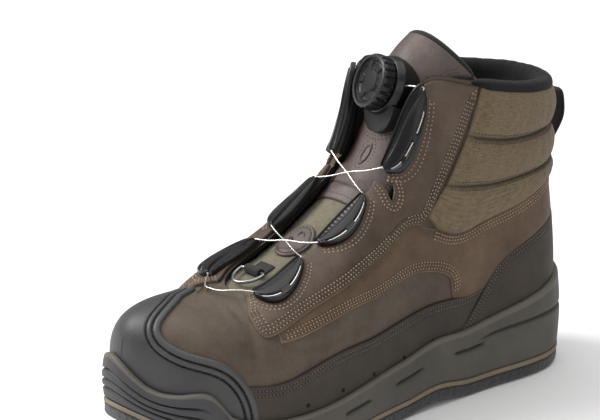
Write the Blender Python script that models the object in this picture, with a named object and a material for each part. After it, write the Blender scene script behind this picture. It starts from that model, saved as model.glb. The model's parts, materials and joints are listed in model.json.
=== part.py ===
"""Left wading boot: felt outsole, cupped midsole, laced upper with padded cuff, and a dial that winds a steel lace.

Metres, +Z up. The boot stands on the floor at z = 0, the toe points along -Y and the heel along +Y.
The outer side of the foot is +X and the inner side is -X.
"""

import functools
import math

import bmesh
import bpy
import numpy as np

# Whole boot
LENGTH = 0.312
BALL_WIDTH = 0.118
HEEL_WIDTH = 0.086
COLLAR_FRONT_HEIGHT = 0.196
COLLAR_WIDTH = 0.076
TOE_HEIGHT = 0.084
TOE_SHIFT = 0.009

# Sole
FELT = 0.008
STRIPE = 0.0028
MIDSOLE_UNDER_HEEL = 0.020
MIDSOLE_UNDER_BALL = 0.012
LIP_HEEL = 0.058
LIP_BALL = 0.029
LIP_TOE = 0.036
TOE_SPRING = 0.025
ARCH_LIFT = 0.003
SPRING_FROM = 0.72
SOLE_EDGE = 0.0065

# Upper
WALL = 0.0025
COLLAR_PAD = 0.0045
OVERLAY = 0.0014
EYESTAY = 0.0019
CUFF = 0.0022
CUFF_ROLL = 0.0048
LIP_WALL = 0.0026
INSOLE = 0.004
TONGUE_WIDTH = 0.058
TONGUE = 0.0040
TONGUE_LEATHER = 0.0012
CLEARANCE = 0.0003

# Hardware
GUIDE_HEIGHT = 0.0036
DIAL_RADIUS = 0.0180
DIAL_HEIGHT = 0.0085
KNOB_RADIUS = 0.0162
KNOB_HEIGHT = 0.0085
KNOB_TEETH = 22
KNOB_KNURL = 0.0006
GUIDE_STEPS = 8
GUIDE_RISE = (0.62, 1.0, 0.80, 1.0, 0.70)
WIRE = 0.0012
D_RING_WIDTH = 0.019
D_RING_DEPTH = 0.013
D_RING_WIRE = 0.0021
D_RING_AT = 0.245
D_RING_LIFT = 0.0033
D_RING_SLOPE = -4
WEBBING_WIDTH = 0.0125
WEBBING = 0.0012
WEBBING_PLAY = 0.0005
WEBBING_TAIL = (0.0005, 0.010)
PULL_LOOP_WIDTH = 0.020
PULL_LOOP = 0.0018
TONGUE_SHIFT = -0.004

# Outline of the sole seen from above. A row is a place along the edge, at = 0 at the back of the heel and 1 at
# the tip of the toe. outer and inner are half widths as shares of the local width.
OUTLINE = [
    # at, outer, inner
    (0.00, 0.000, 0.000),
    (0.06, 0.174, 0.174),
    (0.12, 0.328, 0.328),
    (0.18, 0.443, 0.443),
    (0.24, 0.490, 0.488),
    (0.32, 0.480, 0.450),
    (0.40, 0.440, 0.365),
    (0.48, 0.400, 0.305),
    (0.56, 0.432, 0.366),
    (0.62, 0.470, 0.442),
    (0.68, 0.474, 0.482),
    (0.74, 0.434, 0.470),
    (0.80, 0.350, 0.420),
    (0.86, 0.236, 0.346),
    (0.92, 0.096, 0.244),
    (1.00, -0.078, 0.078),
]

# Sections of the upper. Each is a curve from the feather edge, at the same place along the edge as above, to the
# top line: the collar, then the side of the throat, then the ridge of the vamp, which both sides share.
# along is the top point's share of the length from the heel, half its share of the collar's half width, and
# high its share of the way from the toe's height to the front of the collar. face is the way its top faces, in
# degrees from the heel, and fall the ridge's slope there. The last four are the curve's handles: low_out and
# top_out are shares of the ball's width, low_up and top_down shares of the section's rise.
SECTIONS = [
    # at, along, half, high, face, fall, low_out, low_up, top_out, top_down
    (0.00, 0.042, 0.00, 0.820, 0, 0.00, 0.060, 0.36, -0.050, 0.34),
    (0.08, 0.050, 0.38, 0.820, 22, 0.00, 0.055, 0.36, -0.050, 0.34),
    (0.15, 0.082, 0.72, 0.824, 45, 0.00, 0.045, 0.36, -0.045, 0.34),
    (0.22, 0.135, 0.94, 0.840, 68, 0.00, 0.040, 0.36, -0.035, 0.34),
    (0.29, 0.205, 1.00, 0.872, 87, 0.00, 0.035, 0.36, -0.020, 0.34),
    (0.36, 0.285, 0.98, 0.925, 98, 0.00, 0.030, 0.36, 0.000, 0.33),
    (0.41, 0.342, 0.90, 0.968, 106, 0.00, 0.030, 0.36, 0.020, 0.30),
    (0.445, 0.382, 0.76, 0.985, 114, 0.00, 0.030, 0.37, 0.050, 0.28),
    (0.47, 0.405, 0.66, 0.930, 114, 0.00, 0.030, 0.38, 0.075, 0.25),
    (0.50, 0.428, 0.56, 0.760, 110, 0.00, 0.030, 0.39, 0.110, 0.21),
    (0.54, 0.470, 0.49, 0.530, 105, 0.00, 0.030, 0.40, 0.160, 0.15),
    (0.58, 0.530, 0.47, 0.370, 101, 0.00, 0.032, 0.42, 0.205, 0.09),
    (0.62, 0.600, 0.46, 0.240, 98, 0.00, 0.036, 0.45, 0.250, 0.05),
    (0.66, 0.670, 0.45, 0.140, 97, 0.04, 0.040, 0.48, 0.275, 0.030),
    (0.70, 0.737, 0.38, 0.064, 98, 0.10, 0.042, 0.52, 0.290, 0.012),
    (0.725, 0.764, 0.16, 0.040, 100, 0.10, 0.042, 0.55, 0.295, 0.004),
    (0.74, 0.772, 0.00, 0.037, 102, 0.04, 0.042, 0.57, 0.295, 0.000),
    (0.78, 0.802, 0.00, 0.038, 107, 0.00, 0.042, 0.60, 0.290, 0.000),
    (0.84, 0.846, 0.00, 0.040, 120, 0.01, 0.042, 0.62, 0.270, 0.000),
    (0.90, 0.881, 0.00, 0.038, 138, 0.05, 0.042, 0.64, 0.235, 0.000),
    (0.96, 0.903, 0.00, 0.033, 160, 0.09, 0.042, 0.65, 0.200, 0.000),
    (1.00, 0.910, 0.00, 0.030, 180, 0.11, 0.042, 0.65, 0.190, 0.000),
]
RIDGE_FROM = 0.74

# Top edge of the midsole's side wall, as shares of the way from the ball's lip to the heel's lip.
LIP = [
    # at, high
    (0.00, 1.00),
    (0.12, 0.96),
    (0.24, 0.74),
    (0.34, 0.50),
    (0.44, 0.28),
    (0.54, 0.10),
    (0.62, 0.00),
    (0.70, -0.06),
    (0.76, -0.10),
    (0.81, 0.10),
    (0.86, 0.00),
    (0.92, -0.10),
    (1.00, 0.06),
]

# Grooves round the midsole, as shares of its side's height: at the heel and at the toe.
GROOVES = {"low": (0.18, 0.25), "middle": (0.46, 0.44), "high": (0.82, 0.66)}
GROOVE_HALF = 0.045
TOE_GROOVE = 0.0014
HEEL_GROOVE = 0.0016
MIDSOLE_BULGE = 0.0012
DASHES = [(0.35, 0.405), (0.455, 0.505), (0.55, 0.60), (0.645, 0.69)]
DASH_HALF = 0.0012
DASH_DEPTH = 0.0010
FELT_BEVEL = 0.0012
STRIPE_PROUD = 0.0003

# Outlines of the pieces on the upper's outer side, as places on it. A row is a pair of places, one on each edge.
# The toe cap's edge differs from side to side. Both halves end on the ridge, at the same place.
TOE_CAP_EDGE = {
    # Rows share their low ends, which run to the tip of the toe and then up to the ridge.
    "outer": [
        # low_around, low_up, high_around, high_up
        (0.738, 0.02, 0.735, 0.04),
        (0.775, 0.02, 0.740, 0.13),
        (0.815, 0.02, 0.756, 0.24),
        (0.855, 0.02, 0.783, 0.33),
        (0.900, 0.02, 0.818, 0.375),
        (0.950, 0.02, 0.856, 0.405),
        (1.000, 0.02, 0.892, 0.48),
        (1.000, 0.22, 0.909, 0.60),
        (1.000, 0.48, 0.903, 0.74),
        (1.000, 0.75, 0.886, 0.88),
        (1.000, 1.00, 0.866, 1.00),
    ],
    "inner": [
        (0.738, 0.02, 0.735, 0.04),
        (0.775, 0.02, 0.740, 0.13),
        (0.815, 0.02, 0.756, 0.24),
        (0.855, 0.02, 0.762, 0.37),
        (0.900, 0.02, 0.760, 0.50),
        (0.950, 0.02, 0.758, 0.61),
        (1.000, 0.02, 0.757, 0.70),
        (1.000, 0.22, 0.760, 0.79),
        (1.000, 0.48, 0.777, 0.87),
        (1.000, 0.75, 0.814, 0.94),
        (1.000, 1.00, 0.866, 1.00),
    ],
}
RAND_EDGE = [
    (0.730, 0.02, 0.746, 0.21),
    (0.685, 0.02, 0.700, 0.25),
    (0.640, 0.02, 0.650, 0.28),
    (0.595, 0.02, 0.600, 0.27),
    (0.540, 0.02, 0.540, 0.22),
    (0.490, 0.02, 0.480, 0.18),
    (0.440, 0.02, 0.415, 0.175),
    (0.395, 0.02, 0.347, 0.21),
]
COUNTER_EDGE = [
    (0.000, 0.02, 0.000, 0.44),
    (0.080, 0.02, 0.120, 0.43),
    (0.170, 0.02, 0.210, 0.395),
    (0.250, 0.02, 0.288, 0.33),
    (0.320, 0.02, 0.326, 0.265),
    (0.365, 0.02, 0.350, 0.17),
    (0.391, 0.02, 0.386, 0.05),
]
QUARTER_EDGE = [
    (0.700, 0.492, 0.700, 0.520),
    (0.660, 0.482, 0.672, 0.598),
    (0.616, 0.460, 0.619, 0.582),
    (0.575, 0.420, 0.570, 0.562),
    (0.538, 0.380, 0.526, 0.532),
    (0.475, 0.315, 0.490, 0.496),
    (0.440, 0.292, 0.466, 0.455),
    (0.412, 0.270, 0.450, 0.420),
    (0.398, 0.225, 0.425, 0.402),
    (0.345, 0.232, 0.361, 0.440),
    (0.328, 0.280, 0.306, 0.492),
    (0.290, 0.345, 0.220, 0.558),
    (0.210, 0.408, 0.120, 0.606),
    (0.120, 0.444, 0.060, 0.620),
    (0.003, 0.454, 0.003, 0.628),
]
EYESTAY_EDGE = [
    (0.738, 0.690, 0.724, 0.950),
    (0.722, 0.548, 0.710, 0.985),
    (0.678, 0.612, 0.680, 0.985),
    (0.619, 0.596, 0.640, 0.985),
    (0.570, 0.576, 0.600, 0.985),
    (0.526, 0.546, 0.560, 0.985),
    (0.490, 0.510, 0.525, 0.985),
    (0.464, 0.472, 0.495, 0.985),
    (0.446, 0.500, 0.470, 0.985),
    (0.430, 0.580, 0.450, 0.985),
    (0.416, 0.660, 0.425, 0.985),
    (0.400, 0.760, 0.400, 0.985),
    (0.386, 0.850, 0.384, 0.985),
    (0.372, 0.930, 0.368, 0.985),
]
NOTCH = [
    (0.532, 0.74, 0.556, 1.06),
    (0.526, 0.73, 0.549, 1.06),
    (0.521, 0.74, 0.543, 1.06),
]

# Cuff. A row is a share of the way from the back to the front edge, and the heights of the lower edge, the two
# seams and the upper edge. CUFF_FRONT is where the front edge crosses them.
CUFF_TABLE = [
    # share, lower, seam, upper_seam, upper
    (0.00, 0.640, 0.690, 0.830, 0.985),
    (0.25, 0.620, 0.678, 0.825, 0.985),
    (0.45, 0.575, 0.658, 0.815, 0.985),
    (0.65, 0.507, 0.635, 0.800, 0.985),
    (0.80, 0.455, 0.612, 0.790, 0.985),
    (0.92, 0.420, 0.600, 0.790, 0.985),
    (1.00, 0.445, 0.590, 0.790, 0.985),
]
CUFF_FRONT = [0.452, 0.422, 0.388, 0.362]

# Tongue. along and high are as in SECTIONS, half is a share of half the tongue's width, and drop how far its
# edges curl back, as a share of its width.
TONGUE_TABLE = [
    # at, along, high, half, drop
    (0.00, 0.812, -0.004, 0.62, 0.13),
    (0.10, 0.775, 0.006, 0.72, 0.12),
    (0.20, 0.735, 0.040, 0.78, 0.11),
    (0.30, 0.670, 0.108, 0.80, 0.11),
    (0.41, 0.600, 0.204, 0.80, 0.12),
    (0.52, 0.528, 0.332, 0.80, 0.13),
    (0.62, 0.462, 0.490, 0.80, 0.15),
    (0.73, 0.420, 0.690, 0.80, 0.18),
    (0.82, 0.392, 0.870, 0.80, 0.21),
    (0.91, 0.362, 1.030, 0.87, 0.30),
    (1.00, 0.322, 1.130, 1.00, 0.52),
]
LEATHER_FROM = 0.53
PATCH_AT = 0.385
PATCH_LONG = 0.026
PATCH_WIDE = 0.021

# Lace guides, as places on the upper: where a guide starts and ends at the throat's edge, and how far down the
# side it reaches between.
GUIDES = {
    # row: start_around, start_up, end_around, end_up, deep
    "top": (0.460, 0.980, 0.538, 0.980, 0.19),
    "middle": (0.568, 0.980, 0.631, 0.980, 0.12),
    "low": (0.652, 0.975, 0.716, 0.900, 0.13),
}
DIAL_AT = 0.824
DIAL_TURN = -12

# Lace: the guides that each crossing joins, and the loop in front of the throat. along and high are as in
# SECTIONS, and across is a share of the tongue's width.
CROSSINGS = {"top": ("top", "middle"), "low": ("middle", "low")}
LACE_FRONT = [
    # along, high, across
    (0.785, 0.070, 0.17),
    (0.802, 0.060, 0.03),
    (0.806, 0.058, -0.10),
    (0.800, 0.060, -0.20),
]

# Pull loop. The ends are shares of the way up the cuff, and the turn is along and high as in SECTIONS.
PULL_LOOP_ENDS = (0.82, 0.04)
PULL_LOOP_TURN = [
    # along, high
    (-0.016, 0.690),
    (-0.026, 0.610),
    (-0.020, 0.510),
]

# Facets of the upper
COLLAR_FRONT_AT = 0.445
HEEL_COLUMNS = 8
THROAT_COLUMNS = 6
TOE_COLUMNS = 5
ROWS = 7
SIDES = {"outer": 1, "inner": -1}
WELD = 0.000001
SLIVER = 0.00001
CUTTER_REACH = 0.0035
NOTCH_CUT = 0.006

LOOKS = {
    # red, green, blue, roughness, metallic
    "leather": (0.115, 0.080, 0.058, 0.62, 0.0),
    "rubber": (0.030, 0.029, 0.028, 0.70, 0.0),
    "canvas": (0.165, 0.135, 0.080, 0.90, 0.0),
    "midsole": (0.075, 0.075, 0.062, 0.60, 0.0),
    "stripe": (0.260, 0.215, 0.140, 0.65, 0.0),
    "felt": (0.012, 0.012, 0.013, 0.95, 0.0),
    "lining": (0.018, 0.018, 0.020, 0.90, 0.0),
    "plastic": (0.012, 0.012, 0.013, 0.32, 0.0),
    "webbing": (0.020, 0.019, 0.018, 0.85, 0.0),
    "steel": (0.600, 0.600, 0.580, 0.30, 1.0),
}
MATERIALS = {}


def make_material(name, red, green, blue, roughness, metallic):
    material = bpy.data.materials.new(name)
    material.use_nodes = True
    shader = material.node_tree.nodes["Principled BSDF"]
    shader.inputs["Base Color"].default_value = (red, green, blue, 1)
    shader.inputs["Roughness"].default_value = roughness
    shader.inputs["Metallic"].default_value = metallic
    return material


def spline(table, column, level_ends=False):
    """A natural cubic through one column of a table, or one that leaves both ends level."""
    at = np.array([row[0] for row in table], float)
    value = np.array([row[column] for row in table], float)
    step = np.diff(at)
    slope = np.diff(value) / step
    count = len(at)
    matrix = np.zeros((count, count))
    right = np.zeros(count)
    for i in range(1, count - 1):
        matrix[i, i - 1 : i + 2] = step[i - 1], 2 * (step[i - 1] + step[i]), step[i]
        right[i] = 6 * (slope[i] - slope[i - 1])
    matrix[0, 0] = matrix[-1, -1] = 1
    if level_ends:
        matrix[0, :2] = 2 * step[0], step[0]
        matrix[-1, -2:] = step[-1], 2 * step[-1]
        right[0] = 6 * slope[0]
        right[-1] = -6 * slope[-1]
    bend = np.linalg.solve(matrix, right)

    def value_at(x):
        i = int(np.clip(np.searchsorted(at, x) - 1, 0, count - 2))
        h = step[i]
        a, b = (at[i + 1] - x) / h, (x - at[i]) / h
        cubic = ((a**3 - a) * bend[i] + (b**3 - b) * bend[i + 1]) * h * h / 6
        return float(a * value[i] + b * value[i + 1] + cubic)

    return value_at


def smooth_step(x, low, high):
    t = min(1.0, max(0.0, (x - low) / (high - low)))
    return t * t * (3 - 2 * t)


def share_along(at):
    """Share of the length from the heel, with the places close together round the heel and the toe."""
    return (1 - math.cos(math.pi * at)) / 2


def y_of(share):
    return LENGTH * (0.5 - share)


OUTLINE_HALF = {1: spline(OUTLINE, 1), -1: spline(OUTLINE, 2)}
LIP_SHARE = spline(LIP, 1, level_ends=True)
TONGUE_CURVES = [spline(TONGUE_TABLE, column) for column in range(1, 5)]
CUFF_LINES = [spline(CUFF_TABLE, column, level_ends=True) for column in range(1, 5)]
SECTION = {
    name: spline(SECTIONS, i + 1, level_ends=name not in ("half", "face"))
    for i, name in enumerate(("along", "half", "high", "face", "fall", "low_out", "low_up", "top_out", "top_down"))
}


def edge_point(at, side):
    """Plan point on the sole's edge."""
    width = HEEL_WIDTH + (BALL_WIDTH - HEEL_WIDTH) * smooth_step(at, 0.30, 0.58)
    half = OUTLINE_HALF[side](at) * width
    return np.array([side * half, y_of(share_along(at))])


def edge_out(at, side):
    """Outward plan direction at the sole's edge."""
    if at <= 0.0:
        return np.array([0.0, 1.0])
    if at >= 1.0:
        return np.array([0.0, -1.0])
    step = 0.001
    run = edge_point(min(at + step, 1), side) - edge_point(max(at - step, 0), side)
    run = run / np.linalg.norm(run)
    return np.array([-run[1], run[0]]) * side


def inset_edge(at, side, inset):
    return edge_point(at, side) - inset * edge_out(at, side)


def floor_lift(share):
    """How far the underside of the outsole is off the floor: a low arch and the toe spring."""
    arch = ARCH_LIFT * smooth_step(share, 0.30, 0.39) * smooth_step(-share, -0.48, -0.39)
    return arch + TOE_SPRING * max(0.0, (share - SPRING_FROM) / (1 - SPRING_FROM)) ** 2


def midsole_base(share):
    return floor_lift(share) + FELT + STRIPE + 2 * CLEARANCE


def footbed(share):
    """Height of the floor inside the midsole's cup."""
    thick = MIDSOLE_UNDER_HEEL + (MIDSOLE_UNDER_BALL - MIDSOLE_UNDER_HEEL) * smooth_step(share, 0.25, 0.70)
    return midsole_base(share) + thick


def lip(at):
    """Height of the top edge of the midsole's side wall."""
    plain = LIP_BALL + (LIP_HEEL - LIP_BALL) * LIP_SHARE(at)
    return plain + (LIP_TOE - LIP_BALL) * smooth_step(at, 0.70, 0.95) + floor_lift(share_along(at))


def top_height(high):
    return TOE_HEIGHT + (COLLAR_FRONT_HEIGHT - TOE_HEIGHT) * high


def ridge_x(at):
    return -TOE_SHIFT * smooth_step(at, 0.60, 1.0)


@functools.lru_cache(maxsize=None)
def section(at, side):
    """The four control points of the upper's section at a place along the edge."""
    value = {name: curve(at) for name, curve in SECTION.items()}
    share = share_along(at)
    foot = np.array([*inset_edge(at, side, SOLE_EDGE), footbed(share)])
    half = max(0.0, value["half"]) if at < RIDGE_FROM else 0.0
    top = np.array(
        [side * half * COLLAR_WIDTH / 2 + ridge_x(at), y_of(value["along"]), top_height(value["high"])]
    )
    rise = top[2] - foot[2]
    low = foot + np.array([*(edge_out(at, side) * value["low_out"] * BALL_WIDTH), value["low_up"] * rise])
    turn = math.radians(value["face"])
    reach = value["top_out"] * BALL_WIDTH
    high = top + np.array([side * math.sin(turn) * reach, math.cos(turn) * reach, -value["top_down"] * rise])
    high[2] += value["fall"] * math.cos(turn) * reach
    return foot, low, high, top


def on_upper(around, up):
    """A point on the upper's outer face.

    around runs from 0 at the back of the heel along the outer side to 1 at the tip of the toe, and back along the
    inner side to 2. up runs from the feather edge at 0 to the top line at 1.
    """
    around = round(around % 2, 9)
    foot, low, high, top = section(around, 1) if around <= 1 else section(2 - around, -1)
    down = 1 - up
    return down**3 * foot + 3 * down * down * up * low + 3 * down * up * up * high + up**3 * top


# Surfaces and solids
def blend(a, b, share):
    return a + (b - a) * share


def mirrored(places):
    """The same places on the inner side."""
    return [[(2 - around, up) for around, up in row] for row in reversed(places)]


def weld(patches, point_at=on_upper):
    """Join patches of a surface into one sheet: its points, outward normals, places and triangles."""
    points, places, faces, found = [], [], [], {}
    for patch in patches:
        index = []
        for row in patch:
            line = []
            for place in row:
                point = point_at(*place)
                key = tuple(int(round(value / WELD)) for value in point)
                if key not in found:
                    found[key] = len(points)
                    points.append(point)
                    places.append(place)
                line.append(found[key])
            index.append(line)
        for first, second in zip(index, index[1:]):
            for a, b, c, d in zip(first, second, second[1:], first[1:]):
                faces += [face for face in ((a, d, c), (a, c, b)) if len(set(face)) == 3]
    points = np.array(points)
    normals = np.zeros_like(points)
    for face in faces:
        corner = points[list(face)]
        normals[list(face)] += np.cross(corner[1] - corner[0], corner[2] - corner[0])
    normals /= np.linalg.norm(normals, axis=1)[:, None]
    return points, normals, places, faces


def offset(sheet, distance):
    points, normals, places, faces = sheet
    if callable(distance):
        distance = np.array([distance(*place) for place in places])[:, None]
    return points + normals * distance


def border(faces):
    """Edges that only one triangle has, in that triangle's direction."""
    edges = {(face[i], face[(i + 1) % 3]) for face in faces for i in range(3)}
    return [(a, b) for a, b in edges if (b, a) not in edges]


def thicken(sheet, low, high):
    """Closed mesh between two offsets of a sheet. An offset is a distance, or a function of the place."""
    faces = sheet[3]
    outer, inner = offset(sheet, high), offset(sheet, low)
    count = len(outer)
    closed = list(faces) + [(a + count, c + count, b + count) for a, b, c in faces]
    for a, b in sorted(border(faces)):
        closed += [(b, a, a + count), (b, a + count, b + count)]
    return np.vstack([outer, inner]), closed


def grid(columns, rows, place):
    """Places of a patch, from a function of two shares."""
    return [[place(i / columns, j / rows) for j in range(rows + 1)] for i in range(columns + 1)]


def between(table, columns, rows):
    """A patch between two edges of a table whose rows hold the places low_around, low_up, high_around, high_up."""
    count = len(table) - 1
    shares = [(i / count, *row) for i, row in enumerate(table)]
    curves = [spline(shares, column) for column in range(1, 5)]

    def place(f, g):
        a, b, c, d = (curve(f) for curve in curves)
        return blend(a, c, g), blend(b, d, g)

    return grid(columns, rows, place)


def add_mesh(name, points, faces, material, angle=35):
    mesh = bpy.data.meshes.new(name)
    mesh.from_pydata([tuple(map(float, point)) for point in points], [], [tuple(face) for face in faces])
    bm = bmesh.new()
    bm.from_mesh(mesh)
    bmesh.ops.recalc_face_normals(bm, faces=bm.faces)
    bm.to_mesh(mesh)
    bm.free()
    obj = bpy.data.objects.new(name, mesh)
    bpy.context.scene.collection.objects.link(obj)
    if material:
        mesh.materials.append(MATERIALS[material])
        mesh.shade_smooth()
        mesh.set_sharp_from_angle(angle=math.radians(angle))
    return obj


def carve(obj, tool, operation="DIFFERENCE"):
    """Apply a Boolean and drop its tool."""
    cut = obj.modifiers.new("Cut", "BOOLEAN")
    cut.operation = operation
    cut.object = tool
    bpy.context.view_layer.update()
    mesh = bpy.data.meshes.new_from_object(obj.evaluated_get(bpy.context.evaluated_depsgraph_get()))
    obj.modifiers.clear()
    obj.data = mesh
    bm = bmesh.new()
    bm.from_mesh(mesh)
    bmesh.ops.remove_doubles(bm, verts=bm.verts, dist=SLIVER)
    bmesh.ops.dissolve_degenerate(bm, edges=bm.edges, dist=SLIVER)
    bmesh.ops.dissolve_limit(bm, angle_limit=math.radians(0.9), verts=bm.verts, edges=bm.edges)
    bmesh.ops.triangulate(bm, faces=bm.faces)
    bm.to_mesh(mesh)
    bm.free()
    bpy.data.objects.remove(tool)
    return obj


# Upper
def main_columns():
    """Places along the edge that the upper's facets meet at, the throat's lower end among them."""
    heel = np.linspace(0, COLLAR_FRONT_AT, HEEL_COLUMNS + 1)[:-1]
    throat = np.linspace(COLLAR_FRONT_AT, RIDGE_FROM, THROAT_COLUMNS + 1)[:-1]
    toe = np.linspace(RIDGE_FROM, 1, TOE_COLUMNS + 1)
    return [float(at) for at in (*heel, *throat, *toe)]


def whole_upper():
    """The upper's outer face as one sheet. All that lies on it is cut with the same facets."""
    along = main_columns()
    round_the_edge = along + [2 - at for at in reversed(along[:-1])]
    return weld([[[(around, up / ROWS) for up in range(ROWS + 1)] for around in round_the_edge]])


def filled_upper(sheet, distance, drop=0.0):
    """The upper's outer form as a filled solid, swollen by a distance and let down by a drop at its foot."""
    points = offset(sheet, distance)
    along = main_columns()
    index = {}
    for i, (around, up) in enumerate(sheet[2]):
        if up == 0:
            points[i][2] -= drop
    for i, point in enumerate(sheet[0]):
        index[tuple(int(round(value / WELD)) for value in point)] = i

    def at_place(around, up):
        return index[tuple(int(round(value / WELD)) for value in on_upper(around, up))]

    faces = list(sheet[3])
    for up, turn in ((0, 1), (1, -1)):
        for first, second in zip(along, along[1:]):
            corners = [at_place(first, up), at_place(second, up), at_place(2 - second, up), at_place(2 - first, up)]
            for face in ((0, 1, 2), (0, 2, 3)):
                ids = [corners[i] for i in face][::turn]
                if len(set(ids)) == 3:
                    faces.append(tuple(ids))
    return points, faces


def wall(around, up):
    """Wall of the upper, thicker where the collar is padded."""
    at = around if around <= 1 else 2 - around
    pad = smooth_step(-at, -0.44, -0.34) * smooth_step(up, 0.62, 0.80) * (1 - 0.35 * smooth_step(up, 0.90, 1.0))
    return -(WALL + COLLAR_PAD * pad)


def notch_cutter(side):
    """The slot in the edge of the throat, where the boot flexes."""
    places = between(NOTCH, 2, 2)
    return add_mesh("cutter", *thicken(weld([places if side > 0 else mirrored(places)]), -NOTCH_CUT, NOTCH_CUT), None)


def make_upper(sheet):
    upper = add_mesh("upper", *thicken(sheet, wall, 0.0), "leather")
    for side in SIDES.values():
        carve(upper, notch_cutter(side))
    return upper


def make_overlay(name, sheet, patches, material, thick, base=0.0):
    """A flat piece on the upper: the shell between two offsets, cut to the piece's outline."""
    low = base + CLEARANCE
    shell = add_mesh(name, *thicken(sheet, low, low + thick), material)
    tool = add_mesh("cutter", *thicken(weld(patches), low - CUTTER_REACH, low + thick + CUTTER_REACH), None)
    return carve(shell, tool, "INTERSECT")


def toe_cap_patches():
    """The cap's two halves, which meet up the tip of the toe and along the ridge."""
    outer, inner = (
        [[(min(around, 1.0), min(up, 1.0)) for around, up in row] for row in between(edge, 10, 5)]
        for edge in TOE_CAP_EDGE.values()
    )
    return [outer, mirrored(inner)]


def counter_patches():
    half = between(COUNTER_EDGE, 8, 4)
    return [[[(-around, up) for around, up in row] for row in reversed(half)][:-1] + half]


def cuff_place(f, g):
    """f runs from the inner front edge at -1 to the outer one at 1, g from the lower edge over the three rolls."""
    lines = [curve(abs(f)) for curve in CUFF_LINES]
    roll = min(2, int(g * 3))
    up = blend(lines[roll], lines[roll + 1], g * 3 - roll)
    front = np.interp(g * 3, range(4), CUFF_FRONT)
    return float(f * front), float(up)


def cuff_height(f, g):
    """How far the cuff stands out: a stuffed roll between each two seams, flat at its front edges."""
    fill = math.sin(math.pi * ((g * 3) % 1)) ** 0.6 * smooth_step(-abs(f), -1.0, -0.93)
    return CUFF + CUFF_ROLL * fill * (0.55 + 0.45 * smooth_step(g, 0.1, 0.7))


def make_cuff(sheet):
    """The padded cuff: three stuffed rolls round the ankle, one sewn-down piece."""
    columns, rows = 18, 12
    places, height = [], {}
    for i in range(columns + 1):
        f = 2 * i / columns - 1
        row = []
        for j in range(rows + 1):
            place = cuff_place(f, j / rows)
            height[place] = cuff_height(f, j / rows)
            row.append(place)
        places.append(row)
    cuff = add_mesh("collar_cuff", *thicken(weld([places]), -CUTTER_REACH, lambda *place: height[place]), "canvas")
    return carve(cuff, add_mesh("cutter", *filled_upper(sheet, CLEARANCE), None))


# Sole
def sole_ring(height, out):
    """Points round the sole's edge. height and out are functions of the place along the edge and its side."""
    ring = []
    along = main_columns()
    for at, side in [(at, 1) for at in along] + [(at, -1) for at in reversed(along[1:-1])]:
        ring.append(np.array([*(edge_point(at, side) + out(at, side) * edge_out(at, side)), height(at, side)]))
    return ring


def ladder(start, count, flip):
    """Faces across a ring, from each side to the other."""
    faces = []
    half = count // 2
    for i in range(half):
        corners = [start + i, start + i + 1, start + (count - i - 1) % count, start + (count - i) % count]
        for face in ((0, 1, 2), (0, 2, 3)):
            ids = [corners[k] for k in face]
            if len(set(ids)) == 3:
                faces.append(tuple(ids[::-1] if flip else ids))
    return faces


def loft(name, rings, material, angle=35):
    """Closed solid through rings of the same count, closed across its lowest and highest ring."""
    count = len(rings[0])
    faces = []
    for level in range(len(rings) - 1):
        for i in range(count):
            a, b = level * count + i, level * count + (i + 1) % count
            faces += [(a, b, b + count), (a, b + count, a + count)]
    faces += ladder(0, count, True) + ladder((len(rings) - 1) * count, count, False)
    return add_mesh(name, [point for ring in rings for point in ring], faces, material, angle)


def plate(name, base, thick, inset, bevel, material):
    """A layer of the sole with a bevelled lower edge."""

    def level(rise, inward):
        return sole_ring(lambda at, side: base(share_along(at)) + rise, lambda at, side: -inset - inward)

    rings = [level(0.0, bevel), level(bevel, 0.0), level(thick, 0.0)] if bevel else [level(0.0, 0.0), level(thick, 0.0)]
    return loft(name, rings, material)


@functools.lru_cache(maxsize=None)
def lip_out(at, side):
    """How far outside the sole's edge the lip stands: it clears what lies on the upper, by its own wall."""
    low, high = 0.0, 0.6
    around = at if side > 0 else 2 - at
    for _ in range(24):
        middle = (low + high) / 2
        if on_upper(around, middle)[2] < lip(at):
            low = middle
        else:
            high = middle
    point = on_upper(around, low)[:2]
    reach = float(np.dot(point - edge_point(at, side), edge_out(at, side)))
    return reach + OVERLAY + 2 * CLEARANCE + LIP_WALL


def groove_depth(at, name):
    """Depth of a groove in the midsole's side: one runs round the heel, and three round the toe."""
    toe = TOE_GROOVE * smooth_step(at, 0.77, 0.82)
    heel = HEEL_GROOVE * smooth_step(-at, -0.37, -0.33) if name == "middle" else 0.0
    return toe + heel


def groove_height(at, name):
    heel, toe = GROOVES[name]
    if name == "middle":
        heel = blend(heel, 0.72, min(1.0, at / 0.33))
    return blend(heel, toe, smooth_step(at, 0.55, 0.75))


def midsole_level(rise, out):
    def height(at, side):
        base = midsole_base(share_along(at))
        return blend(base, lip(at), rise(at))

    def reach(at, side):
        share = rise(at)
        return blend(0.0, lip_out(at, side), share**1.5) + MIDSOLE_BULGE * math.sin(math.pi * share) + out(at)

    return sole_ring(height, reach)


def make_midsole(sheet):
    rings = [midsole_level(lambda at: 0.0, lambda at: -0.0010), midsole_level(lambda at: 0.05, lambda at: 0.0)]
    for name in GROOVES:
        for step, share in ((-GROOVE_HALF, 0.0), (0.0, 1.0), (GROOVE_HALF, 0.0)):
            rings.append(
                midsole_level(
                    lambda at, name=name, step=step: groove_height(at, name) + step,
                    lambda at, name=name, share=share: -share * groove_depth(at, name),
                )
            )
    rings += [midsole_level(lambda at: 0.93, lambda at: 0.0), midsole_level(lambda at: 1.0, lambda at: -0.0008)]
    midsole = loft("midsole", rings, "midsole")
    form = filled_upper(sheet, OVERLAY + 2 * CLEARANCE, CLEARANCE)
    carve(midsole, add_mesh("cutter", *form, None))
    return carve(midsole, add_mesh("cutter", *dash_grooves(), None))


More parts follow.
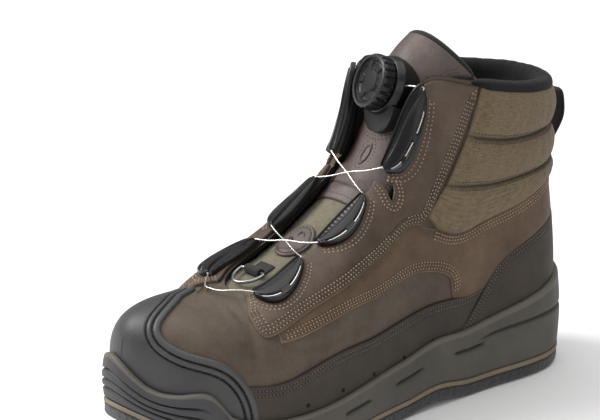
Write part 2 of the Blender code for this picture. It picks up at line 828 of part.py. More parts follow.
def dash_grooves():
    """Short grooves along both flanks of the midsole, as one cutter."""
    points, faces = [], []
    for side in SIDES.values():
        for start, end in DASHES:
            first = len(points)
            stations = 3
            for i in range(stations):
                at = blend(start, end, i / (stations - 1))
                base = midsole_base(share_along(at))
                height = lip(at) - base
                rise = blend(0.62, 0.52, (at - 0.34) / 0.36)
                reach = blend(0.0, lip_out(at, side), rise**1.5) + MIDSOLE_BULGE * math.sin(math.pi * rise)
                taper = 1.0 if i == 1 else 0.35
                for out, lift in ((-DASH_DEPTH, 0), (0.001, -DASH_HALF), (0.003, 0), (0.001, DASH_HALF)):
                    plan = edge_point(at, side) + (reach + out) * edge_out(at, side)
                    points.append(np.array([*plan, base + rise * height + lift * taper]))
            for i in range(stations - 1):
                for k in range(4):
                    a, b = first + 4 * i + k, first + 4 * i + (k + 1) % 4
                    faces += [(a, b, b + 4), (a, b + 4, a + 4)]
            last = first + 4 * (stations - 1)
            faces += [(first + 2, first + 1, first), (first + 3, first + 2, first)]
            faces += [(last, last + 1, last + 2), (last, last + 2, last + 3)]
    return points, faces


def make_sole(sheet):
    plate("outsole", floor_lift, FELT, 0.0, FELT_BEVEL, "felt")
    plate("sole_stripe", lambda share: floor_lift(share) + FELT + CLEARANCE, STRIPE, -STRIPE_PROUD, 0.0, "stripe")
    make_midsole(sheet)
    inset = SOLE_EDGE + WALL + 2 * CLEARANCE
    plate("insole", lambda share: footbed(share) + CLEARANCE, INSOLE, inset, 0.0, "lining")


# Tongue and what lies on it
@functools.lru_cache(maxsize=None)
def tongue_line(at):
    """Middle of the tongue's face, and the direction that it faces."""
    along, high = TONGUE_CURVES[0](at), TONGUE_CURVES[1](at)
    step = 0.01
    run = y_of(TONGUE_CURVES[0](at + step)) - y_of(TONGUE_CURVES[0](at - step))
    rise = top_height(TONGUE_CURVES[1](at + step)) - top_height(TONGUE_CURVES[1](at - step))
    size = math.hypot(run, rise)
    middle = np.array([TONGUE_SHIFT * (1 - at), y_of(along), top_height(high)])
    return middle, np.array([0.0, -rise / size, run / size])


def on_tongue(at, across):
    """A point on the tongue's face. across runs from -1 at its inner edge to 1 at its outer edge."""
    middle, facing = tongue_line(at)
    half = TONGUE_CURVES[2](at) * TONGUE_WIDTH / 2
    drop = TONGUE_CURVES[3](at) * TONGUE_WIDTH
    return middle + np.array([across * half, 0, 0]) - facing * drop * across**2


def whole_tongue():
    rows, columns = 12, 6
    return weld([grid(rows, columns, lambda f, g: (f, 2 * g - 1))], on_tongue)


def part_of(sheet, keep):
    """The faces of a sheet whose places all pass, with the whole sheet's normals."""
    points, normals, places, faces = sheet
    chosen = [face for face in faces if all(keep(*places[i]) for i in face)]
    used = sorted({i for face in chosen for i in face})
    new = {old: i for i, old in enumerate(used)}
    faces = [tuple(new[i] for i in face) for face in chosen]
    return points[used], normals[used], [places[i] for i in used], faces


def frame_at(at, across=0.0, lift=0.0):
    """Origin and axes of a piece that stands on the tongue: its x is the boot's, its z faces out."""
    facing = tongue_line(at)[1]
    origin = on_tongue(at, across) + facing * lift
    right = np.array([1.0, 0.0, 0.0])
    return origin, right, np.cross(facing, right), facing


def dial_frame():
    """The dial's own frame: it sits on the tongue, turned a little towards the inner side, in degrees."""
    origin, right, up, facing = frame_at(DIAL_AT)
    turn = math.radians(DIAL_TURN)
    return origin, right * math.cos(turn) - facing * math.sin(turn), up, facing * math.cos(turn) + right * math.sin(turn)


def turned(frame, profile, sides, ripple=None):
    """Points and faces of a solid turned about a frame's z. profile rows are radius and height."""
    origin, right, up, facing = frame
    points, faces = [], []
    for level, (radius, height) in enumerate(profile):
        for i in range(sides):
            angle = 2 * math.pi * i / sides
            reach = radius + (ripple(level, i) if ripple else 0.0)
            points.append(origin + reach * (math.cos(angle) * right + math.sin(angle) * up) + height * facing)
    for level in range(len(profile) - 1):
        for i in range(sides):
            a, b = level * sides + i, level * sides + (i + 1) % sides
            faces.append((a, b, b + sides, a + sides))
    faces.append(tuple(reversed(range(sides))))
    faces.append(tuple(range((len(profile) - 1) * sides, len(profile) * sides)))
    return points, faces


def make_tongue():
    sheet = whole_tongue()
    add_mesh("tongue", *thicken(sheet, -TONGUE, 0.0), "canvas")
    top = part_of(sheet, lambda at, across: at > LEATHER_FROM)
    low = CLEARANCE
    add_mesh("tongue_leather", *thicken(top, low, low + TONGUE_LEATHER), "leather")
    below = part_of(sheet, lambda at, across: 0.2 < at < LEATHER_FROM)
    patch = add_mesh("tongue_patch", *thicken(below, low, low + TONGUE_LEATHER), "leather")
    frame = frame_at(PATCH_AT)
    sides = 20
    points, faces = turned(frame, [(1.0, -0.006), (1.0, 0.008)], sides)
    origin, right, up, facing = frame
    stretched = []
    for point in points:
        x, y, z = (float(np.dot(point - origin, axis)) for axis in (right, up, facing))
        stretched.append(origin + right * x * PATCH_WIDE / 2 + up * y * PATCH_LONG / 2 + facing * z)
    carve(patch, add_mesh("cutter", stretched, faces, None), "INTERSECT")
    return sheet


def make_dial(sheet):
    """The lace dial: a housing seated on the tongue's leather, and its knurled knob."""
    seat = 2 * CLEARANCE + TONGUE_LEATHER
    frame = dial_frame()
    skirt = DIAL_RADIUS * 0.80
    profile = [
        (DIAL_RADIUS, -skirt), (DIAL_RADIUS, DIAL_HEIGHT * 0.45), (DIAL_RADIUS * 0.93, DIAL_HEIGHT * 0.85),
        (DIAL_RADIUS * 0.84, DIAL_HEIGHT),
    ]
    base = add_mesh("dial_base", *turned(frame, profile, 28), "plastic")
    carve(base, add_mesh("cutter", *thicken(sheet, -2 * DIAL_RADIUS, seat), None))
    bottom = DIAL_HEIGHT + CLEARANCE
    profile = [
        (KNOB_RADIUS * 0.90, bottom), (KNOB_RADIUS, bottom + KNOB_HEIGHT * 0.12),
        (KNOB_RADIUS, bottom + KNOB_HEIGHT * 0.80), (KNOB_RADIUS * 0.86, bottom + KNOB_HEIGHT),
        (KNOB_RADIUS * 0.74, bottom + KNOB_HEIGHT * 0.86),
    ]

    def knurl(level, i):
        return -KNOB_KNURL if level in (1, 2) and i % 2 else 0.0

    add_mesh("dial_knob", *turned(frame, profile, 2 * KNOB_TEETH, knurl), "plastic")


# Cords and rings
def smooth_path(points, steps):
    """Points on a smooth curve through the given ones."""
    table = [(i, *point) for i, point in enumerate(points)]
    curves = [spline(table, column) for column in (1, 2, 3)]
    count = (len(points) - 1) * steps
    return [np.array([curve(i / steps) for curve in curves]) for i in range(count + 1)]


def tube(path, radius, sides=6, closed=False):
    """Points and faces of a round bar along a path."""
    path = [np.asarray(point, float) for point in path]
    count = len(path)
    points, faces = [], []
    across = None
    for i, point in enumerate(path):
        ahead = path[(i + 1) % count] if closed or i < count - 1 else point
        behind = path[i - 1] if closed or i > 0 else point
        run = ahead - behind
        run = run / np.linalg.norm(run)
        if across is None:
            across = np.cross(run, [0.0, 0.0, 1.0] if abs(run[2]) < 0.9 else [0.0, 1.0, 0.0])
        across = across - np.dot(across, run) * run
        across = across / np.linalg.norm(across)
        third = np.cross(run, across)
        for k in range(sides):
            angle = 2 * math.pi * k / sides
            points.append(point + radius * (math.cos(angle) * across + math.sin(angle) * third))
    for i in range(count if closed else count - 1):
        for k in range(sides):
            a, b = i * sides + k, i * sides + (k + 1) % sides
            c, d = ((i + 1) % count) * sides + (k + 1) % sides, ((i + 1) % count) * sides + k
            faces.append((a, b, c, d))
    if not closed:
        faces.append(tuple(reversed(range(sides))))
        faces.append(tuple(range((count - 1) * sides, count * sides)))
    return points, faces


def throat_point(along, high, across):
    return np.array([across * TONGUE_WIDTH, y_of(along), top_height(high)])


def guide_tip(row, end, side):
    """Where the lace leaves a guide: at its upper end 0 or its lower end 1."""
    around, up = GUIDES[row][2 * end : 2 * end + 2]
    turn = (lambda at: at) if side > 0 else (lambda at: 2 - at)
    tip, inner = on_upper(turn(around), up), on_upper(turn(around), up - 0.01)
    ahead = on_upper(turn(around + 0.01), up) - on_upper(turn(around - 0.01), up)
    across = (tip - inner) / np.linalg.norm(tip - inner)
    out = -np.cross(ahead, across) * side
    out = out / np.linalg.norm(out)
    return tip + out * (EYESTAY + 2 * CLEARANCE + 0.5 * GUIDE_HEIGHT)


def make_lace():
    """The steel lace's free stretches. Its hidden runs go through the guides and the dial."""
    for name, (upper_row, lower_row) in CROSSINGS.items():
        strands = []
        for side in SIDES.values():
            start, end = guide_tip(upper_row, 1, side), guide_tip(lower_row, 0, -side)
            strands.append([start, (start + end) / 2 + np.array([0, 0, side * WIRE / 4]), end])
        lace = add_mesh(f"lace_crossing_{name}", *tube(strands[0], WIRE / 2), "steel")
        carve(lace, add_mesh("cutter", *tube(strands[1], WIRE / 2), None), "UNION")
    loop = [guide_tip("low", 1, 1), *(throat_point(*place) for place in LACE_FRONT), guide_tip("low", 1, -1)]
    add_mesh("lace_front", *tube(smooth_path(loop, 2), WIRE / 2), "steel")
    origin, right, up, facing = dial_frame()
    for name, side in SIDES.items():
        tip = guide_tip("top", 0, side)
        way = np.array([np.dot(tip - origin, right), np.dot(tip - origin, up)])
        way = way / np.linalg.norm(way) * (DIAL_RADIUS + CLEARANCE + WIRE / 2)
        start = origin + right * way[0] + up * way[1] + facing * 0.3 * DIAL_HEIGHT
        add_mesh(f"lace_top_{name}", *tube([start, tip], WIRE / 2), "steel")


def make_guides(sheet):
    """C-shaped lace guides on the eyestays' edges, with a lower middle where the lace shows."""
    base = EYESTAY + 2 * CLEARANCE
    for row, (start, start_up, end, end_up, deep) in GUIDES.items():
        height = {}
        places = []
        for i in range(GUIDE_STEPS + 1):
            share = i / GUIDE_STEPS
            bulge = math.sin(math.pi * blend(0.04, 0.96, share)) ** 0.7
            high = blend(start_up, end_up, share) - 0.22 * deep * bulge
            line = []
            for j, rise in enumerate(GUIDE_RISE):
                spot = (blend(start, end, share), high - deep * bulge * (1 - j / (len(GUIDE_RISE) - 1)))
                height[spot] = base + GUIDE_HEIGHT * rise
                line.append(spot)
            places.append(line)
        for name, side in SIDES.items():
            turned_over = {(2 - around, up): value for (around, up), value in height.items()}
            patch = places if side > 0 else mirrored(places)
            heights = height if side > 0 else turned_over
            solid = thicken(weld([patch]), -CUTTER_REACH, lambda *spot, heights=heights: heights[spot])
            guide = add_mesh(f"lace_guide_{row}_{name}", *solid, "plastic")
            carve(guide, add_mesh("cutter", *filled_upper(sheet, base), None))


def make_d_ring():
    """The front ring, its straight bar held in a folded webbing loop and its bow lying towards the toe."""
    origin, right, up, facing = frame_at(D_RING_AT, 0.0, D_RING_LIFT)
    forward = -up
    tilt = math.radians(D_RING_SLOPE)
    reach = forward * math.cos(tilt) - facing * math.sin(tilt)
    half, bow = D_RING_WIDTH / 2, D_RING_DEPTH
    path = [origin + right * half * x for x in (-0.72, -0.36, 0.0, 0.36, 0.72)]
    for i in range(13):
        angle = math.pi * i / 12
        path.append(origin + right * half * math.cos(angle) + reach * (0.14 + 0.86 * math.sin(angle)) * bow)
    add_mesh("d_ring", *tube(path, D_RING_WIRE / 2, 8, closed=True), "steel", 60)
    hole = D_RING_WIRE / 2 + WEBBING_PLAY
    outer = hole + WEBBING
    sides, points, faces = 14, [], []
    for x in (-1, 1):
        for radius in (hole, outer):
            for i in range(sides):
                angle = 2 * math.pi * i / sides
                spoke = math.cos(angle) * up + math.sin(angle) * facing
                points.append(origin + right * x * WEBBING_WIDTH / 2 + radius * spoke)
    for i in range(sides):
        k = (i + 1) % sides
        faces += [(i, k, sides + k, sides + i), (2 * sides + i, 3 * sides + i, 3 * sides + k, 2 * sides + k)]
        faces += [(i, 2 * sides + i, 2 * sides + k, k), (sides + i, sides + k, 3 * sides + k, 3 * sides + i)]
    loop = add_mesh("d_ring_loop", points, faces, "webbing")
    tail = []
    start, end = WEBBING_TAIL
    for x in (-1, 1):
        for y, z in ((start, -outer), (start, -hole - 0.2 * WEBBING), (end, -hole - 0.2 * WEBBING), (end, -outer)):
            tail.append(origin + right * x * WEBBING_WIDTH * 0.499 + up * y + facing * z)
    box = [(0, 1, 2, 3), (7, 6, 5, 4), (0, 4, 5, 1), (1, 5, 6, 2), (2, 6, 7, 3), (3, 7, 4, 0)]
    carve(loop, add_mesh("cutter", tail, box, None), "UNION")


def make_pull_loop():
    """A ribbon that stands out behind the cuff, its two ends sewn into the cuff's seams."""
    seats = []
    for g in PULL_LOOP_ENDS:
        seats.append(on_upper(*cuff_place(0, g)) + np.array([0, cuff_height(0, g) + CLEARANCE + PULL_LOOP / 2, 0]))
    turn = [np.array([0.0, y_of(along), top_height(high)]) for along, high in PULL_LOOP_TURN]
    path = smooth_path([seats[0], *turn, seats[1]], 3)
    points, faces = [], []
    for i, point in enumerate(path):
        run = path[min(i + 1, len(path) - 1)] - path[max(i - 1, 0)]
        across = np.array([0.0, run[2], -run[1]]) / math.hypot(run[1], run[2])
        for x, side in ((-1, -1), (1, -1), (1, 1), (-1, 1)):
            points.append(point + np.array([x * PULL_LOOP_WIDTH / 2, 0, 0]) + across * side * PULL_LOOP / 2)
    for i in range(len(path) - 1):
        for k in range(4):
            a, b = 4 * i + k, 4 * i + (k + 1) % 4
            faces.append((a, b, b + 4, a + 4))
    last = 4 * (len(path) - 1)
    faces += [(3, 2, 1, 0), (last, last + 1, last + 2, last + 3)]
    add_mesh("pull_loop", points, faces, "webbing")


def main():
    for obj in list(bpy.data.objects):
        bpy.data.objects.remove(obj)
    for name, look in LOOKS.items():
        MATERIALS[name] = make_material(name, *look)
    sheet = whole_upper()
    make_upper(sheet)
    make_sole(sheet)
    make_overlay("toe_cap", sheet, toe_cap_patches(), "rubber", OVERLAY)
    make_overlay("heel_counter", sheet, counter_patches(), "rubber", OVERLAY)
    make_cuff(sheet)
    for name, side in SIDES.items():
        for piece, edge, columns, material, thick in (
            ("rand", RAND_EDGE, 8, "rubber", OVERLAY),
            ("quarter", QUARTER_EDGE, 18, "leather", OVERLAY),
            ("eyestay", EYESTAY_EDGE, 18, "leather", EYESTAY),
        ):
            places = between(edge, columns, 5)
            patches = [places if side > 0 else mirrored(places)]
            overlay = make_overlay(f"{piece}_{name}", sheet, patches, material, thick)
            if piece == "eyestay":
                carve(overlay, notch_cutter(side))
    make_guides(sheet)
    tongue = make_tongue()
    make_dial(tongue)
    make_lace()
    make_d_ring()
    make_pull_loop()


main()
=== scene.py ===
"""Looks of a left wading boot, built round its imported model.

Metres, +Z up. The toe points along -Y, and the outer side of the foot is +X. The forms repeat the tables and
the functions of the part's source, drawn finer, with the panels' edges, seams, stitches and finishes added.
"""

import functools
import json
import math

import bmesh
import bpy
import numpy as np
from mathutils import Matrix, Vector

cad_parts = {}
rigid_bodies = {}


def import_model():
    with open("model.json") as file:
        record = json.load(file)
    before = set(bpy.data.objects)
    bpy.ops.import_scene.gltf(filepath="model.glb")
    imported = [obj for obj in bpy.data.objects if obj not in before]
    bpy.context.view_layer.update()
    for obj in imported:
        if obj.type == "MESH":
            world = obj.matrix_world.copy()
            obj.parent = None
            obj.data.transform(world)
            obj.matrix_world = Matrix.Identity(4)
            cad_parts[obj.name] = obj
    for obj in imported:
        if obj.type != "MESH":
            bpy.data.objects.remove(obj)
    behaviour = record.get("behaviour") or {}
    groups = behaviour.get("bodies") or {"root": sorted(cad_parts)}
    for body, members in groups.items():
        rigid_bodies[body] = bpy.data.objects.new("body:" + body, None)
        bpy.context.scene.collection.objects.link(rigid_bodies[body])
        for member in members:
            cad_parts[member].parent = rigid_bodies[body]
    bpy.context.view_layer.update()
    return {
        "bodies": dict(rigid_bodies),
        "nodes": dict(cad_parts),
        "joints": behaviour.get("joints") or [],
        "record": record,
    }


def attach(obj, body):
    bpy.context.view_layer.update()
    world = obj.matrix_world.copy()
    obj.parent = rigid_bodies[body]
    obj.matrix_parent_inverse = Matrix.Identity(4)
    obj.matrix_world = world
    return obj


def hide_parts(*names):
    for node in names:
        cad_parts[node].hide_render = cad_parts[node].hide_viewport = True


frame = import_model()
BODY = "boot"

# Camera, fitted to the photo: image width and focal length in its pixels, and the eye's place round its target
PHOTO_WIDTH = 600
FOCAL = 2534
SENSOR = 36.0
AZIMUTH = 49.8
ELEVATION = 18.0
TARGET = (0.0, 0.0, 0.090)
EYE_RIGHT = -0.0267
EYE_UP = 0.0255
EYE_BACK = 1.446

# Whole boot
LENGTH = 0.312
BALL_WIDTH = 0.118
HEEL_WIDTH = 0.086
COLLAR_FRONT_HEIGHT = 0.196
COLLAR_WIDTH = 0.076
TOE_HEIGHT = 0.084
TOE_SHIFT = 0.009

# Sole
FELT = 0.008
STRIPE = 0.0028
MIDSOLE_UNDER_HEEL = 0.020
MIDSOLE_UNDER_BALL = 0.012
LIP_HEEL = 0.058
LIP_BALL = 0.029
LIP_TOE = 0.036
TOE_SPRING = 0.025
ARCH_LIFT = 0.003
SPRING_FROM = 0.72
SOLE_EDGE = 0.0065

# Upper
WALL = 0.0025
COLLAR_PAD = 0.0045
OVERLAY = 0.0014
EYESTAY = 0.0019
CUFF = 0.0022
CUFF_ROLL = 0.0048
LIP_WALL = 0.0026
INSOLE = 0.004
TONGUE_WIDTH = 0.058
TONGUE = 0.0040
TONGUE_LEATHER = 0.0012
CLEARANCE = 0.0003

# Hardware
GUIDE_HEIGHT = 0.0036
DIAL_RADIUS = 0.0180
DIAL_HEIGHT = 0.0085
KNOB_RADIUS = 0.0162
KNOB_HEIGHT = 0.0085
KNOB_TEETH = 22
WIRE = 0.0012
D_RING_WIDTH = 0.019
D_RING_DEPTH = 0.013
D_RING_WIRE = 0.0021
D_RING_AT = 0.245
D_RING_LIFT = 0.0033
D_RING_SLOPE = -4
WEBBING_WIDTH = 0.0125
WEBBING = 0.0012
WEBBING_PLAY = 0.0005
WEBBING_TAIL = 0.010
PULL_LOOP_WIDTH = 0.020
PULL_LOOP = 0.0018
TONGUE_SHIFT = -0.004

# Outline of the sole seen from above. A row is a place along the edge, at = 0 at the back of the heel and 1 at
# the tip of the toe. outer and inner are half widths as shares of the local width.
OUTLINE = [
    # at, outer, inner
    (0.00, 0.000, 0.000),
    (0.06, 0.174, 0.174),
    (0.12, 0.328, 0.328),
    (0.18, 0.443, 0.443),
    (0.24, 0.490, 0.488),
    (0.32, 0.480, 0.450),
    (0.40, 0.440, 0.365),
    (0.48, 0.400, 0.305),
    (0.56, 0.432, 0.366),
    (0.62, 0.470, 0.442),
    (0.68, 0.474, 0.482),
    (0.74, 0.434, 0.470),
    (0.80, 0.350, 0.420),
    (0.86, 0.236, 0.346),
    (0.92, 0.096, 0.244),
    (1.00, -0.078, 0.078),
]

# Sections of the upper. Each is a curve from the feather edge, at the same place along the edge as above, to
# the top line: the collar, then the side of the throat, then the ridge of the vamp, which both sides share.
# along is the top point's share of the length from the heel, half its share of the collar's half width, and
# high its share of the way from the toe's height to the front of the collar. face is the way its top faces, in
# degrees from the heel, and fall the ridge's slope there. The last four are the curve's handles: low_out and
# top_out are shares of the ball's width, low_up and top_down shares of the section's rise.
SECTIONS = [
    # at, along, half, high, face, fall, low_out, low_up, top_out, top_down
    (0.00, 0.042, 0.00, 0.820, 0, 0.00, 0.060, 0.36, -0.050, 0.34),
    (0.08, 0.050, 0.38, 0.820, 22, 0.00, 0.055, 0.36, -0.050, 0.34),
    (0.15, 0.082, 0.72, 0.824, 45, 0.00, 0.045, 0.36, -0.045, 0.34),
    (0.22, 0.135, 0.94, 0.840, 68, 0.00, 0.040, 0.36, -0.035, 0.34),
    (0.29, 0.205, 1.00, 0.872, 87, 0.00, 0.035, 0.36, -0.020, 0.34),
    (0.36, 0.285, 0.98, 0.925, 98, 0.00, 0.030, 0.36, 0.000, 0.33),
    (0.41, 0.342, 0.90, 0.968, 106, 0.00, 0.030, 0.36, 0.020, 0.30),
    (0.445, 0.382, 0.76, 0.985, 114, 0.00, 0.030, 0.37, 0.050, 0.28),
    (0.47, 0.405, 0.66, 0.930, 114, 0.00, 0.030, 0.38, 0.075, 0.25),
    (0.50, 0.428, 0.56, 0.760, 110, 0.00, 0.030, 0.39, 0.110, 0.21),
    (0.54, 0.470, 0.49, 0.530, 105, 0.00, 0.030, 0.40, 0.160, 0.15),
    (0.58, 0.530, 0.47, 0.370, 101, 0.00, 0.032, 0.42, 0.205, 0.09),
    (0.62, 0.600, 0.46, 0.240, 98, 0.00, 0.036, 0.45, 0.250, 0.05),
    (0.66, 0.670, 0.45, 0.140, 97, 0.04, 0.040, 0.48, 0.275, 0.030),
    (0.70, 0.737, 0.38, 0.064, 98, 0.10, 0.042, 0.52, 0.290, 0.012),
    (0.725, 0.764, 0.16, 0.040, 100, 0.10, 0.042, 0.55, 0.295, 0.004),
    (0.74, 0.772, 0.00, 0.037, 102, 0.04, 0.042, 0.57, 0.295, 0.000),
    (0.78, 0.802, 0.00, 0.038, 107, 0.00, 0.042, 0.60, 0.290, 0.000),
    (0.84, 0.846, 0.00, 0.040, 120, 0.01, 0.042, 0.62, 0.270, 0.000),
    (0.90, 0.881, 0.00, 0.038, 138, 0.05, 0.042, 0.64, 0.235, 0.000),
    (0.96, 0.903, 0.00, 0.033, 160, 0.09, 0.042, 0.65, 0.200, 0.000),
    (1.00, 0.910, 0.00, 0.030, 180, 0.11, 0.042, 0.65, 0.190, 0.000),
]
RIDGE_FROM = 0.74

# Top edge of the midsole's side wall, as shares of the way from the ball's lip to the heel's lip.
LIP = [
    # at, high
    (0.00, 1.00),
    (0.12, 0.96),
    (0.24, 0.74),
    (0.34, 0.50),
    (0.44, 0.28),
    (0.54, 0.10),
    (0.62, 0.00),
    (0.70, -0.06),
    (0.76, -0.10),
    (0.81, 0.10),
    (0.86, 0.00),
    (0.92, -0.10),
    (1.00, 0.06),
]

# Grooves round the midsole, as shares of its side's height: at the heel and at the toe.
GROOVES = {"low": (0.18, 0.25), "middle": (0.46, 0.44), "high": (0.82, 0.66)}
GROOVE_HALF = 0.045
TOE_GROOVE = 0.0014
HEEL_GROOVE = 0.0016
MIDSOLE_BULGE = 0.0012
DASHES = [(0.35, 0.405), (0.455, 0.505), (0.55, 0.60), (0.645, 0.69)]
DASH_HALF = 0.0012
STRIPE_PROUD = 0.0003

# Outlines of the pieces on the upper's outer side, as places on it. A row is a pair of places, one on each
# edge. The toe cap's edge differs from side to side. Both halves end on the ridge, at the same place.
TOE_CAP_EDGE = {
    # Rows share their low ends, which run to the tip of the toe and then up to the ridge.
    "outer": [
        # low_around, low_up, high_around, high_up
        (0.738, 0.02, 0.735, 0.04),
        (0.775, 0.02, 0.740, 0.13),
        (0.815, 0.02, 0.756, 0.24),
        (0.855, 0.02, 0.783, 0.33),
        (0.900, 0.02, 0.818, 0.375),
        (0.950, 0.02, 0.856, 0.405),
        (1.000, 0.02, 0.892, 0.48),
        (1.000, 0.22, 0.909, 0.60),
        (1.000, 0.48, 0.903, 0.74),
        (1.000, 0.75, 0.886, 0.88),
        (1.000, 1.00, 0.866, 1.00),
    ],
    "inner": [
        (0.738, 0.02, 0.735, 0.04),
        (0.775, 0.02, 0.740, 0.13),
        (0.815, 0.02, 0.756, 0.24),
        (0.855, 0.02, 0.762, 0.37),
        (0.900, 0.02, 0.760, 0.50),
        (0.950, 0.02, 0.758, 0.61),
        (1.000, 0.02, 0.757, 0.70),
        (1.000, 0.22, 0.760, 0.79),
        (1.000, 0.48, 0.777, 0.87),
        (1.000, 0.75, 0.814, 0.94),
        (1.000, 1.00, 0.866, 1.00),
    ],
}
RAND_EDGE = [
    (0.730, 0.02, 0.746, 0.21),
    (0.685, 0.02, 0.700, 0.25),
    (0.640, 0.02, 0.650, 0.28),
    (0.595, 0.02, 0.600, 0.27),
    (0.540, 0.02, 0.540, 0.22),
    (0.490, 0.02, 0.480, 0.18),
    (0.440, 0.02, 0.415, 0.175),
    (0.395, 0.02, 0.347, 0.21),
]
COUNTER_EDGE = [
    (0.000, 0.02, 0.000, 0.44),
    (0.080, 0.02, 0.120, 0.43),
    (0.170, 0.02, 0.210, 0.395),
    (0.250, 0.02, 0.288, 0.33),
    (0.320, 0.02, 0.326, 0.265),
    (0.365, 0.02, 0.350, 0.17),
    (0.391, 0.02, 0.386, 0.05),
]
EYESTAY_EDGE = [
    (0.738, 0.690, 0.724, 0.950),
    (0.722, 0.548, 0.710, 0.985),
    (0.678, 0.612, 0.680, 0.985),
    (0.619, 0.596, 0.640, 0.985),
    (0.570, 0.576, 0.600, 0.985),
    (0.526, 0.546, 0.560, 0.985),
    (0.490, 0.510, 0.525, 0.985),
    (0.464, 0.472, 0.495, 0.985),
    (0.446, 0.500, 0.470, 0.985),
    (0.430, 0.580, 0.450, 0.985),
    (0.416, 0.660, 0.425, 0.985),
    (0.400, 0.760, 0.400, 0.985),
    (0.386, 0.850, 0.384, 0.985),
    (0.372, 0.930, 0.368, 0.985),
]
NOTCH = [
    (0.532, 0.74, 0.556, 1.06),
    (0.526, 0.73, 0.549, 1.06),
    (0.521, 0.74, 0.543, 1.06),
]

# Cuff. A row is a share of the way from the back to the front edge, and the heights of the lower edge, the two
# seams and the upper edge. CUFF_FRONT is where the front edge crosses them.
CUFF_TABLE = [
    # share, lower, seam, upper_seam, upper
    (0.00, 0.640, 0.690, 0.830, 0.985),
    (0.25, 0.620, 0.678, 0.825, 0.985),
    (0.45, 0.575, 0.658, 0.815, 0.985),
    (0.65, 0.507, 0.635, 0.800, 0.985),
    (0.80, 0.455, 0.612, 0.790, 0.985),
    (0.92, 0.420, 0.600, 0.790, 0.985),
    (1.00, 0.445, 0.590, 0.790, 0.985),
]
CUFF_FRONT = [0.452, 0.422, 0.388, 0.362]

# Tongue. along and high are as in SECTIONS, half is a share of half the tongue's width, and drop how far its
# edges curl back, as a share of its width.
TONGUE_TABLE = [
    # at, along, high, half, drop
    (0.00, 0.812, -0.004, 0.62, 0.13),
    (0.10, 0.775, 0.006, 0.72, 0.12),
    (0.20, 0.735, 0.040, 0.78, 0.11),
    (0.30, 0.670, 0.108, 0.80, 0.11),
    (0.41, 0.600, 0.204, 0.80, 0.12),
    (0.52, 0.528, 0.332, 0.80, 0.13),
    (0.62, 0.462, 0.490, 0.80, 0.15),
    (0.73, 0.420, 0.690, 0.80, 0.18),
    (0.82, 0.392, 0.870, 0.80, 0.21),
    (0.91, 0.362, 1.030, 0.87, 0.30),
    (1.00, 0.322, 1.130, 1.00, 0.52),
]
LEATHER_FROM = 0.53
PATCH_AT = 0.385
PATCH_LONG = 0.026
PATCH_WIDE = 0.021

# Lace guides, as places on the upper: where a guide starts and ends at the throat's edge, and how far down the
# side it reaches between.
GUIDES = {
    # row: start_around, start_up, end_around, end_up, deep
    "top": (0.460, 0.980, 0.538, 0.980, 0.19),
    "middle": (0.568, 0.980, 0.631, 0.980, 0.12),
    "low": (0.652, 0.975, 0.716, 0.900, 0.13),
}
DIAL_AT = 0.824
DIAL_TURN = -12

# Lace: the guides that each crossing joins, and the loop in front of the throat. along and high are as in
# SECTIONS, and across is a share of the tongue's width.
CROSSINGS = {"top": ("top", "middle"), "low": ("middle", "low")}
LACE_FRONT = [
    # along, high, across
    (0.785, 0.070, 0.17),
    (0.802, 0.060, 0.03),
    (0.806, 0.058, -0.10),
    (0.800, 0.060, -0.20),
]

# Pull loop. The ends are shares of the way up the cuff, and the turn is along and high as in SECTIONS.
PULL_LOOP_ENDS = (0.82, 0.04)
PULL_LOOP_TURN = [
    # along, high
    (-0.016, 0.690),
    (-0.026, 0.610),
    (-0.020, 0.510),
]

SIDES = {"outer": 1, "inner": -1}


def spline(table, column, level_ends=False):
    """A natural cubic through one column of a table, or one that leaves both ends level."""
    at = np.array([row[0] for row in table], float)
    value = np.array([row[column] for row in table], float)
    step = np.diff(at)
    slope = np.diff(value) / step
    count = len(at)
    matrix = np.zeros((count, count))
    right = np.zeros(count)
    for i in range(1, count - 1):
        matrix[i, i - 1 : i + 2] = step[i - 1], 2 * (step[i - 1] + step[i]), step[i]
        right[i] = 6 * (slope[i] - slope[i - 1])
    matrix[0, 0] = matrix[-1, -1] = 1
    if level_ends:
        matrix[0, :2] = 2 * step[0], step[0]
        matrix[-1, -2:] = step[-1], 2 * step[-1]
        right[0] = 6 * slope[0]
        right[-1] = -6 * slope[-1]
    bend = np.linalg.solve(matrix, right)

    def value_at(x):
        i = int(np.clip(np.searchsorted(at, x) - 1, 0, count - 2))
        h = step[i]
        a, b = (at[i + 1] - x) / h, (x - at[i]) / h
        cubic = ((a**3 - a) * bend[i] + (b**3 - b) * bend[i + 1]) * h * h / 6
        return float(a * value[i] + b * value[i + 1] + cubic)

    return value_at


def smooth_step(x, low, high):
    t = min(1.0, max(0.0, (x - low) / (high - low)))
    return t * t * (3 - 2 * t)


def share_along(at):
    """Share of the length from the heel, with the places close together round the heel and the toe."""
    return (1 - math.cos(math.pi * at)) / 2


def y_of(share):
    return LENGTH * (0.5 - share)


OUTLINE_HALF = {1: spline(OUTLINE, 1), -1: spline(OUTLINE, 2)}
LIP_SHARE = spline(LIP, 1, level_ends=True)
TONGUE_CURVES = [spline(TONGUE_TABLE, column) for column in range(1, 5)]
CUFF_LINES = [spline(CUFF_TABLE, column, level_ends=True) for column in range(1, 5)]
SECTION_COLUMNS = ("along", "half", "high", "face", "fall", "low_out", "low_up", "top_out", "top_down")
SECTION = {
    name: spline(SECTIONS, i, level_ends=name not in ("half", "face"))
    for i, name in enumerate(SECTION_COLUMNS, 1)
}


def edge_point(at, side):
    """Plan point on the sole's edge."""
    width = HEEL_WIDTH + (BALL_WIDTH - HEEL_WIDTH) * smooth_step(at, 0.30, 0.58)
    half = OUTLINE_HALF[side](at) * width
    return np.array([side * half, y_of(share_along(at))])


